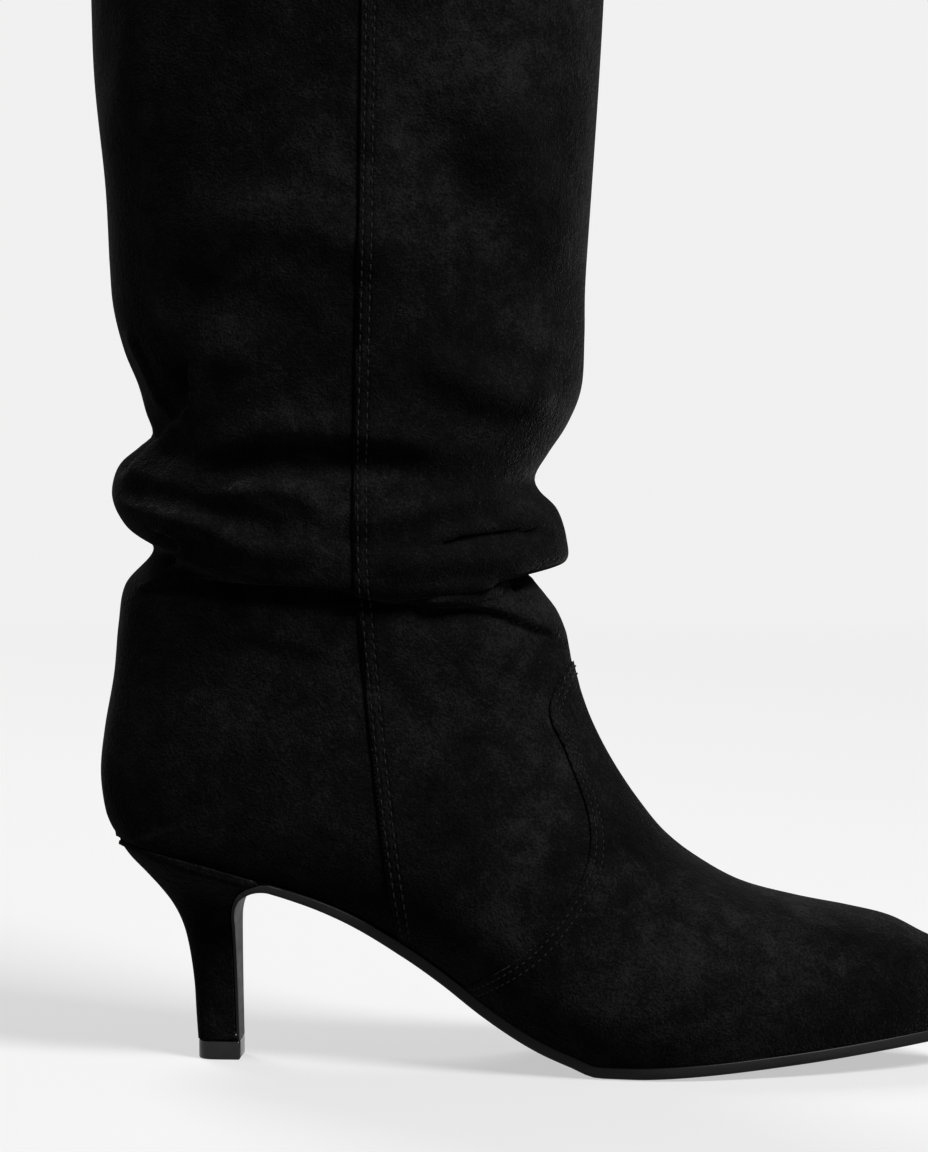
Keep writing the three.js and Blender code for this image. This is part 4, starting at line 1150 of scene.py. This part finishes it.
def sole_line():
    """Places, outward directions, half widths and thickness along the sole, from toe to the breast's foot."""
    plate, turn_steps, leaf_steps = 170, 44, 22
    first, crowding = 0.7, 1.15
    stations = []
    for i in range(plate):
        share = (1 - math.cos(math.pi * (i + first) / (plate + first))) / 2
        x = lerp(TOE_TIP, WEDGE_TIP, share**crowding)
        tangent = feather_tangent(x)
        full = clamp((x - WEDGE_TIP) / (TREAD_BACK - WEDGE_TIP) / SHANK_SHARE)
        edge = sole_edge(x)
        stations.append((on_feather(x, -JOINT), np.array([tangent[1], -tangent[0]]), edge["outer"],
                         edge["inner"], lerp(SHANK_THICKNESS, SOLE_THICKNESS, full)))
    tangent = feather_tangent(WEDGE_TIP)
    start = on_feather(WEDGE_TIP, -JOINT)
    leave = start - tangent * 0.75 * WEDGE_REACH - np.array([0, 0.12 * WEDGE_REACH])
    end = np.array([BREAST - 0.07 * WEDGE_REACH, 0.62 * SEAT_HEIGHT])
    arrive = end + np.array([-0.04, 0.62]) * WEDGE_REACH
    foot = np.array([BREAST, LIFT_HEIGHT + GAP])
    wedge = sole_edge(WEDGE_TIP)
    for i in range(turn_steps + leaf_steps + 1):
        turn, down = min(i / turn_steps, 1), max(i - turn_steps, 0) / leaf_steps
        back = 1 - turn
        place = back**3 * start + 3 * back**2 * turn * leave
        place = place + 3 * back * turn**2 * arrive + turn**3 * end
        along = back**2 * (leave - start) + 2 * back * turn * (arrive - leave) + turn**2 * (end - arrive)
        if down > 0:
            along = foot - end
        place = lerp(place, foot, down)
        along = along / np.linalg.norm(along)
        half = breast_half(place[1])
        narrow = min(turn * 2, 1)
        stations.append((place, np.array([-along[1], along[0]]), lerp(wedge["outer"], half["outer"], narrow),
                         lerp(wedge["inner"], half["inner"], narrow),
                         lerp(SHANK_THICKNESS, BREAST_THICKNESS, min(turn * 1.3, 1))))
    return stations


def breast_half(height):
    """Half the heel's width on its front at a height. Above the tip it opens out to the seat's outline."""
    shares = np.linspace(1, 0, BREAST_STEPS)
    heights = np.array([column(HEEL_ROWS, "front_up", share) * SEAT_HEIGHT for share in shares])
    at = np.interp(height, np.maximum.accumulate(heights), shares)
    edge = sole_edge(WEDGE_TIP)
    wide = clamp(column(HEEL_ROWS, "wide", at))
    return {side: lerp(HEEL_TIP_WIDTH / 2, edge[side], wide) for side in ("outer", "inner")}


def make_outsole(leather):
    """The sole with a rounded edge, a tread and the leaf that runs down the heel's breast."""
    stations = sole_line()
    rings = []
    for place, out, outer, inner, thickness in stations:
        middle, half = (inner - outer) / 2, max((outer + inner) / 2, LEAST_HALF)
        top, low = min(SOLE_TOP_EDGE, half / 3), min(SOLE_LOW_EDGE * thickness, half / 3)
        section = []
        for k in range(4):
            angle = math.pi / 2 * k / 3
            section.append((half - top * (1 - math.sin(angle)), top * (1 - math.cos(angle))))
        for k in range(6):
            angle = math.pi / 2 * k / 5
            section.append((half - low * (1 - math.cos(angle)), thickness - low * (1 - math.sin(angle))))
        flat = [(half * share, thickness) for share in (0.75, 0.5, 0.25)]
        right = section + flat
        left = [(-y, depth) for y, depth in reversed(right)]
        ring = right + [(0, thickness)] + left + [(-half * 0.5, 0), (0, 0), (half * 0.5, 0)]
        rings.append([(place[0] + out[0] * depth, middle + y, place[1] + out[1] * depth)
                      for y, depth in ring])
    make_mesh("sole", *capped(rings), None, leather, "sole_leather", ("outsole",))


def tip_outline(share):
    """Half the width of the heel tip's outline at a share from its front to its back."""
    behind = max(2 * share - 1, 0) ** TIP_ROUNDING
    return HEEL_TIP_WIDTH / 2 * max(1 - behind, 0) ** (1 / TIP_ROUNDING)


def heel_ring(at, steps):
    """A ring of the heel block, from its front round the back. at runs from 0 at the seat to 1 at the tip."""
    row = {name: column(HEEL_ROWS, name, at) for name in HEEL_ROWS[0]}
    front = np.array([BREAST + row["front"] * WEDGE_REACH, row["front_up"] * SEAT_HEIGHT])
    back = np.array([lerp(TIP_BACK, SEAT_BACK + SEAT_INSET, row["back"]), row["back_up"] * SEAT_HEIGHT])

    def side(name, sign):
        points = []
        for k in range(steps):
            share = math.sin(k / steps * math.pi / 2)
            seat = sole_edge(lerp(WEDGE_TIP, SEAT_BACK, share))[name]
            y = sign * lerp(tip_outline(share), seat, clamp(row["wide"]))
            points.append((lerp(front[0], back[0], share), y, lerp(front[1], back[1], share)))
        return points

    return side("outer", -1) + [(back[0], 0, back[1])] + side("inner", 1)[::-1]


def make_heel(suede):
    """The suede-covered heel block, cut by the upper's edge above and the sole's leaf ahead."""
    rows, steps = 110, 40
    grid = np.array([heel_ring(1 - i / rows, steps) for i in range(rows + 1)])
    low = LIFT_HEIGHT + GAP
    places = grid[..., [0, 2]].reshape(-1, 2)
    line = np.array([place - out * JOINT for place, out, *_ in sole_line()
                     if place[0] < WEDGE_TIP + 2 * CUT_DEPTH])
    gap, _ = side_distance(places, line)
    shape = grid.shape[:2]
    fields = {
        "leaf": -gap.reshape(shape),
        "seat": -above_feather(places).reshape(shape) - JOINT,
        "floor": grid[..., 2] - low,
    }
    normals = open_normals(grid)
    keep = [("leaf", 1, HEEL_EDGE), ("seat", 1, HEEL_EDGE), ("floor", 1, 0)]
    surface = surface_mesh(grid, normals, fields, 0, keep)
    points, faces, _ = shell(*surface, HEEL_COVER, HEEL_EDGE)
    points, faces = join([(points, faces), seat_board()])
    make_mesh("heel_cover", points, faces, None, suede, "suede", ("heel",))


def seat_board():
    """The top of the heel block under the seat of the upper, a little inside the cover."""
    steps = 40
    rings = []
    for i in range(steps + 1):
        x = lerp(SEAT_BACK + BOARD_START, WEDGE_TIP - BOARD_END, i / steps)
        edge = sole_edge(x)
        high = on_feather(x, -2 * JOINT)
        low = on_feather(x, -BOARD_DEPTH * (1 - BOARD_TAPER * i / steps))
        outer, inner = edge["outer"] - BOARD_INSET, edge["inner"] - BOARD_INSET
        rings.append([(high[0], -outer, high[1]), (high[0], inner, high[1]),
                      (low[0], inner, low[1]), (low[0], -outer, low[1])])
    return capped(rings)


def open_normals(grid):
    """Unit normals, pointing out, of rings that run from the front round the back to the front."""
    normal = unit(np.cross(np.gradient(grid, axis=0), np.gradient(grid, axis=1)))
    middle = grid.mean(1, keepdims=True)
    if ((grid - middle) * normal).sum() < 0:
        normal = -normal
    return normal


def make_top_lift(plastic):
    """The hard top piece under the heel."""
    steps, bevel, upper_bevel = 28, TIP_BEVEL, TIP_TOP_BEVEL

    def outline(inset):
        side = []
        for k in range(steps):
            share = math.sin(k / steps * math.pi / 2)
            side.append((lerp(TIP_FRONT - inset, TIP_BACK + inset, share), tip_outline(share) - inset))
        front = [(TIP_FRONT - inset, y * (HEEL_TIP_WIDTH / 2 - inset)) for y in (-0.5, 0, 0.5)]
        outer = [(x, -y) for x, y in side]
        return outer + [(TIP_BACK + inset, 0)] + side[::-1] + front[::-1]

    levels = [(bevel, 0)]
    for k in range(1, 5):
        angle = math.pi / 2 * k / 4
        levels.append((bevel * (1 - math.sin(angle)), bevel * (1 - math.cos(angle))))
    levels += [(0, LIFT_HEIGHT / 2)]
    for k in range(4):
        angle = math.pi / 2 * k / 3
        inward, up = 1 - math.cos(angle), 1 - math.sin(angle)
        levels.append((upper_bevel * inward, LIFT_HEIGHT - upper_bevel * up))
    rings = [[(x, y, z) for x, y in outline(inset)] for inset, z in levels]
    make_mesh("top_piece", *capped(rings), None, plastic, "heel_tip", ("top_lift",))


def make_insole(leather):
    """The sock inside, a thin plate on the sole with a rounded rim."""
    stations, across = 120, 12
    low_x, high_x = SEAT_BACK + SOCK_INSET, TOE_TIP - SOCK_TOE_GAP
    rings = []
    for i in range(stations + 1):
        x = lerp(low_x, high_x, (1 - math.cos(math.pi * i / stations)) / 2)
        edge = sole_edge(x)
        ends = max(1 - ((x - low_x) / (high_x - low_x) * 2 - 1) ** SOCK_END_POWER, 0) ** 0.5
        outer, inner = (max(edge[side] - SOCK_INSET, SOCK_LEAST) * ends for side in ("outer", "inner"))
        low = on_feather(x, SOCK_UNDERSIDE)
        upper, under = [], []
        for k in range(across + 1):
            share = k / across * 2 - 1
            rise = SOCK_DIP * (1 - abs(share) ** 4) - SOCK_RIM * abs(share) ** 8
            high = on_feather(x, INSOLE_THICKNESS + rise)
            upper.append((high[0], lerp(-outer, inner, k / across), high[1]))
            under.append((low[0], lerp(inner, -outer, k / across), low[1]))
        rings.append(upper + under)
    make_mesh("sock", *capped(rings), None, leather, "sock", ("insole",))


# Materials

def nodes_of(name):
    """A new material with its nodes, its links and its main shader."""
    material = bpy.data.materials.new(name)
    material.use_nodes = True
    tree = material.node_tree
    return material, tree, tree.nodes["Principled BSDF"]


def set_surface(shader, values):
    """Sets the shader's plain values."""
    for name, value in values.items():
        shader.inputs[name].default_value = value


def place_vector(tree, scale=(1, 1, 1)):
    """The place on the boot in metres, stretched by a scale."""
    place = tree.nodes.new("ShaderNodeTexCoord").outputs["Object"]
    mapping = tree.nodes.new("ShaderNodeMapping")
    mapping.inputs["Scale"].default_value = scale
    tree.links.new(place, mapping.inputs["Vector"])
    return mapping.outputs["Vector"]


def noise(tree, scale, detail, roughness, distortion=0.0, stretch=(1, 1, 1)):
    """Noise over the place on the boot, from 0 to 1."""
    node = tree.nodes.new("ShaderNodeTexNoise")
    for name, value in (("Scale", scale), ("Detail", detail), ("Roughness", roughness),
                        ("Distortion", distortion)):
        node.inputs[name].default_value = value
    tree.links.new(place_vector(tree, stretch), node.inputs["Vector"])
    return node.outputs["Fac"]


def math_node(tree, operation, a, b=None, c=None):
    """One sum on numbers or on other nodes' outputs."""
    node = tree.nodes.new("ShaderNodeMath")
    node.operation = operation
    for socket, value in zip(node.inputs, (a, b, c)):
        if value is None:
            continue
        if isinstance(value, (int, float)):
            socket.default_value = value
        else:
            tree.links.new(value, socket)
    return node.outputs[0]


def ramp(tree, factor, *stops):
    """A colour ramp from places and grey or colour values."""
    node = tree.nodes.new("ShaderNodeValToRGB")
    points = node.color_ramp.elements
    while len(points) < len(stops):
        points.new(0.5)
    for point, (place, value) in zip(points, stops):
        point.position = place
        point.color = (*value, 1) if isinstance(value, tuple) else (value, value, value, 1)
    tree.links.new(factor, node.inputs["Fac"])
    return node.outputs["Color"]


def bump(tree, height, depth, normal=None):
    """A bump of a depth in metres from a height between 0 and 1."""
    node = tree.nodes.new("ShaderNodeBump")
    node.inputs["Strength"].default_value = 1
    node.inputs["Distance"].default_value = depth
    tree.links.new(height, node.inputs["Height"])
    if normal is not None:
        tree.links.new(normal, node.inputs["Normal"])
    return node.outputs["Normal"]


def suede_material():
    """Black suede: a fine nap, brushed lighter and darker in soft patches."""
    material, tree, shader = nodes_of("black_suede")
    patches = noise(tree, *SUEDE_PATCHES)
    mottle = noise(tree, *SUEDE_MOTTLE)
    nap = noise(tree, *SUEDE_NAP)
    broad = math_node(tree, "MULTIPLY", patches, PATCH_SHARE)
    soft = math_node(tree, "MULTIPLY_ADD", mottle, MOTTLE_SHARE, broad)
    tone = math_node(tree, "MULTIPLY_ADD", math_node(tree, "SUBTRACT", nap, 0.5), NAP_SHARE, soft)
    tree.links.new(ramp(tree, tone, *SUEDE_TONES), shader.inputs["Base Color"])
    set_surface(shader, SUEDE_SURFACE)
    normal = bump(tree, nap, NAP_DEPTH)
    normal = bump(tree, noise(tree, *SUEDE_PILE), PILE_DEPTH, normal)
    tree.links.new(bump(tree, groove(tree), GROOVE_DEPTH, normal), shader.inputs["Normal"])
    return material


def groove(tree):
    """Height of the leather where the stitch rows pull it down, from its distance to the seams."""
    height = None
    for field, rows in (("side_seam", SIDE_STITCH_ROWS), ("vamp_seam", VAMP_STITCH_ROWS)):
        distance = tree.nodes.new("ShaderNodeAttribute")
        distance.attribute_name = field
        for row in rows:
            away = math_node(tree, "ABSOLUTE", math_node(tree, "SUBTRACT", distance.outputs["Fac"], row))
            dip = math_node(tree, "SMOOTH_MIN", away, GROOVE_WIDTH, GROOVE_SOFTNESS)
            height = dip if height is None else math_node(tree, "ADD", height, dip)
    return height


def thread_material():
    """Dark thread with fine strands."""
    material, tree, shader = nodes_of("thread")
    strands = noise(tree, *THREAD_STRANDS)
    tree.links.new(ramp(tree, strands, *THREAD_TONES), shader.inputs["Base Color"])
    set_surface(shader, THREAD_SURFACE)
    tree.links.new(bump(tree, strands, THREAD_DEPTH), shader.inputs["Normal"])
    return material


def sole_material():
    """Dark satin sole leather with faint streaks along the edge."""
    material, tree, shader = nodes_of("sole_leather")
    streaks = noise(tree, *SOLE_STREAKS)
    tree.links.new(ramp(tree, streaks, *SOLE_TONES), shader.inputs["Base Color"])
    tree.links.new(ramp(tree, streaks, *SOLE_ROUGHNESS), shader.inputs["Roughness"])
    set_surface(shader, SOLE_SURFACE)
    tree.links.new(bump(tree, noise(tree, *SOLE_GRAIN), SOLE_DEPTH), shader.inputs["Normal"])
    return material


def tip_material():
    """Hard glossy plastic with faint scuffs."""
    material, tree, shader = nodes_of("glossy_tip")
    scuffs = noise(tree, *TIP_SCUFFS)
    tree.links.new(ramp(tree, scuffs, *TIP_TONES), shader.inputs["Base Color"])
    tree.links.new(ramp(tree, scuffs, *TIP_ROUGHNESS), shader.inputs["Roughness"])
    tree.links.new(bump(tree, scuffs, TIP_DEPTH), shader.inputs["Normal"])
    return material


def lining_material():
    """Plain dark lining leather with a fine grain."""
    material, tree, shader = nodes_of("dark_lining")
    wear = noise(tree, *LINING_WEAR)
    tree.links.new(ramp(tree, wear, *LINING_TONES), shader.inputs["Base Color"])
    set_surface(shader, LINING_SURFACE)
    tree.links.new(bump(tree, noise(tree, *LINING_GRAIN), LINING_DEPTH), shader.inputs["Normal"])
    return material


def pale_material():
    """A plain pale floor that keeps a soft shadow near the boot and an even tone further off."""
    material, tree, shader = nodes_of("pale_floor")
    place = tree.nodes.new("ShaderNodeTexCoord").outputs["Object"]
    away = tree.nodes.new("ShaderNodeVectorMath")
    away.operation = "LENGTH"
    tree.links.new(place, away.inputs[0])
    near = math_node(tree, "DIVIDE", away.outputs["Value"], FLOOR_SPAN)
    taken = ramp(tree, near, (FLOOR_NEAR, FLOOR_SHARE), (FLOOR_FAR, 0.0))
    given = ramp(tree, near, (FLOOR_NEAR, PALE - FLOOR_LIT), (FLOOR_FAR, PALE))
    tree.links.new(taken, shader.inputs["Base Color"])
    tree.links.new(given, shader.inputs["Emission Color"])
    set_surface(shader, FLOOR_SURFACE)
    return material


# Floor, light and camera

def make_stage():
    """A pale floor that curves up into a wall all round. It lends the boot no light of its own."""
    profile = [(FLOOR_FLAT * k / 8, 0) for k in range(1, 9)]
    for k in range(1, FLOOR_STEPS + 1):
        angle = math.pi / 2 * k / FLOOR_STEPS
        profile.append((FLOOR_FLAT + FLOOR_TURN * math.sin(angle), FLOOR_TURN * (1 - math.cos(angle))))
    profile.append((FLOOR_FLAT + FLOOR_TURN, WALL_TOP))
    turns = [2 * math.pi * j / FLOOR_SIDES for j in range(FLOOR_SIDES)]
    points = [(radius * math.cos(turn), radius * math.sin(turn), z)
              for radius, z in profile for turn in turns]
    faces = [face[::-1] for face in loft_faces(len(profile), FLOOR_SIDES)] + [tuple(range(FLOOR_SIDES))]
    mesh = bpy.data.meshes.new("floor")
    mesh.from_pydata(points, [], faces)
    mesh.polygons.foreach_set("use_smooth", [True] * len(faces))
    mesh.materials.append(pale_material())
    floor = bpy.data.objects.new("floor", mesh)
    floor.visible_diffuse = False
    floor.visible_shadow = False
    bpy.context.scene.collection.objects.link(floor)


def make_light(name, place, target, size, power):
    """A soft square light that looks at a target."""
    data = bpy.data.lights.new(name, "AREA")
    data.shape = "RECTANGLE"
    data.size, data.size_y = size
    data.energy = power
    light = bpy.data.objects.new(name, data)
    light.location = place
    light.rotation_euler = (Vector(target) - Vector(place)).to_track_quat("-Z", "Y").to_euler()
    bpy.context.scene.collection.objects.link(light)


def make_camera():
    """The photograph's view: a long lens from a little above the floor."""
    azimuth, elevation = math.radians(AZIMUTH), math.radians(ELEVATION)
    away = Vector((math.sin(azimuth) * math.cos(elevation), -math.cos(azimuth) * math.cos(elevation),
                   math.sin(elevation)))
    target = Vector(LOOK_AT) * MM
    data = bpy.data.cameras.new("camera")
    data.lens = LENS
    data.sensor_width = SENSOR
    data.clip_end = FARTHEST
    camera = bpy.data.objects.new("camera", data)
    camera.location = target + away * DISTANCE * MM
    camera.rotation_euler = (-away).to_track_quat("-Z", "Y").to_euler()
    bpy.context.scene.collection.objects.link(camera)
    bpy.context.scene.camera = camera


def make_world():
    """Even white light from all round, and the picture's contrast."""
    world = bpy.data.worlds.new("studio")
    world.use_nodes = True
    world.node_tree.nodes["Background"].inputs["Color"].default_value = (1, 1, 1, 1)
    world.node_tree.nodes["Background"].inputs["Strength"].default_value = WORLD_LIGHT
    bpy.context.scene.world = world
    bpy.context.scene.view_settings.view_transform = "Standard"
    bpy.context.scene.view_settings.gamma = CONTRAST


make_camera()
suede = suede_material()
make_upper(suede, thread_material(), lining_material())
make_heel(suede)
make_outsole(sole_material())
make_top_lift(tip_material())
make_insole(lining_material())
make_stage()
make_world()
for light in LIGHTS:
    make_light(*light)
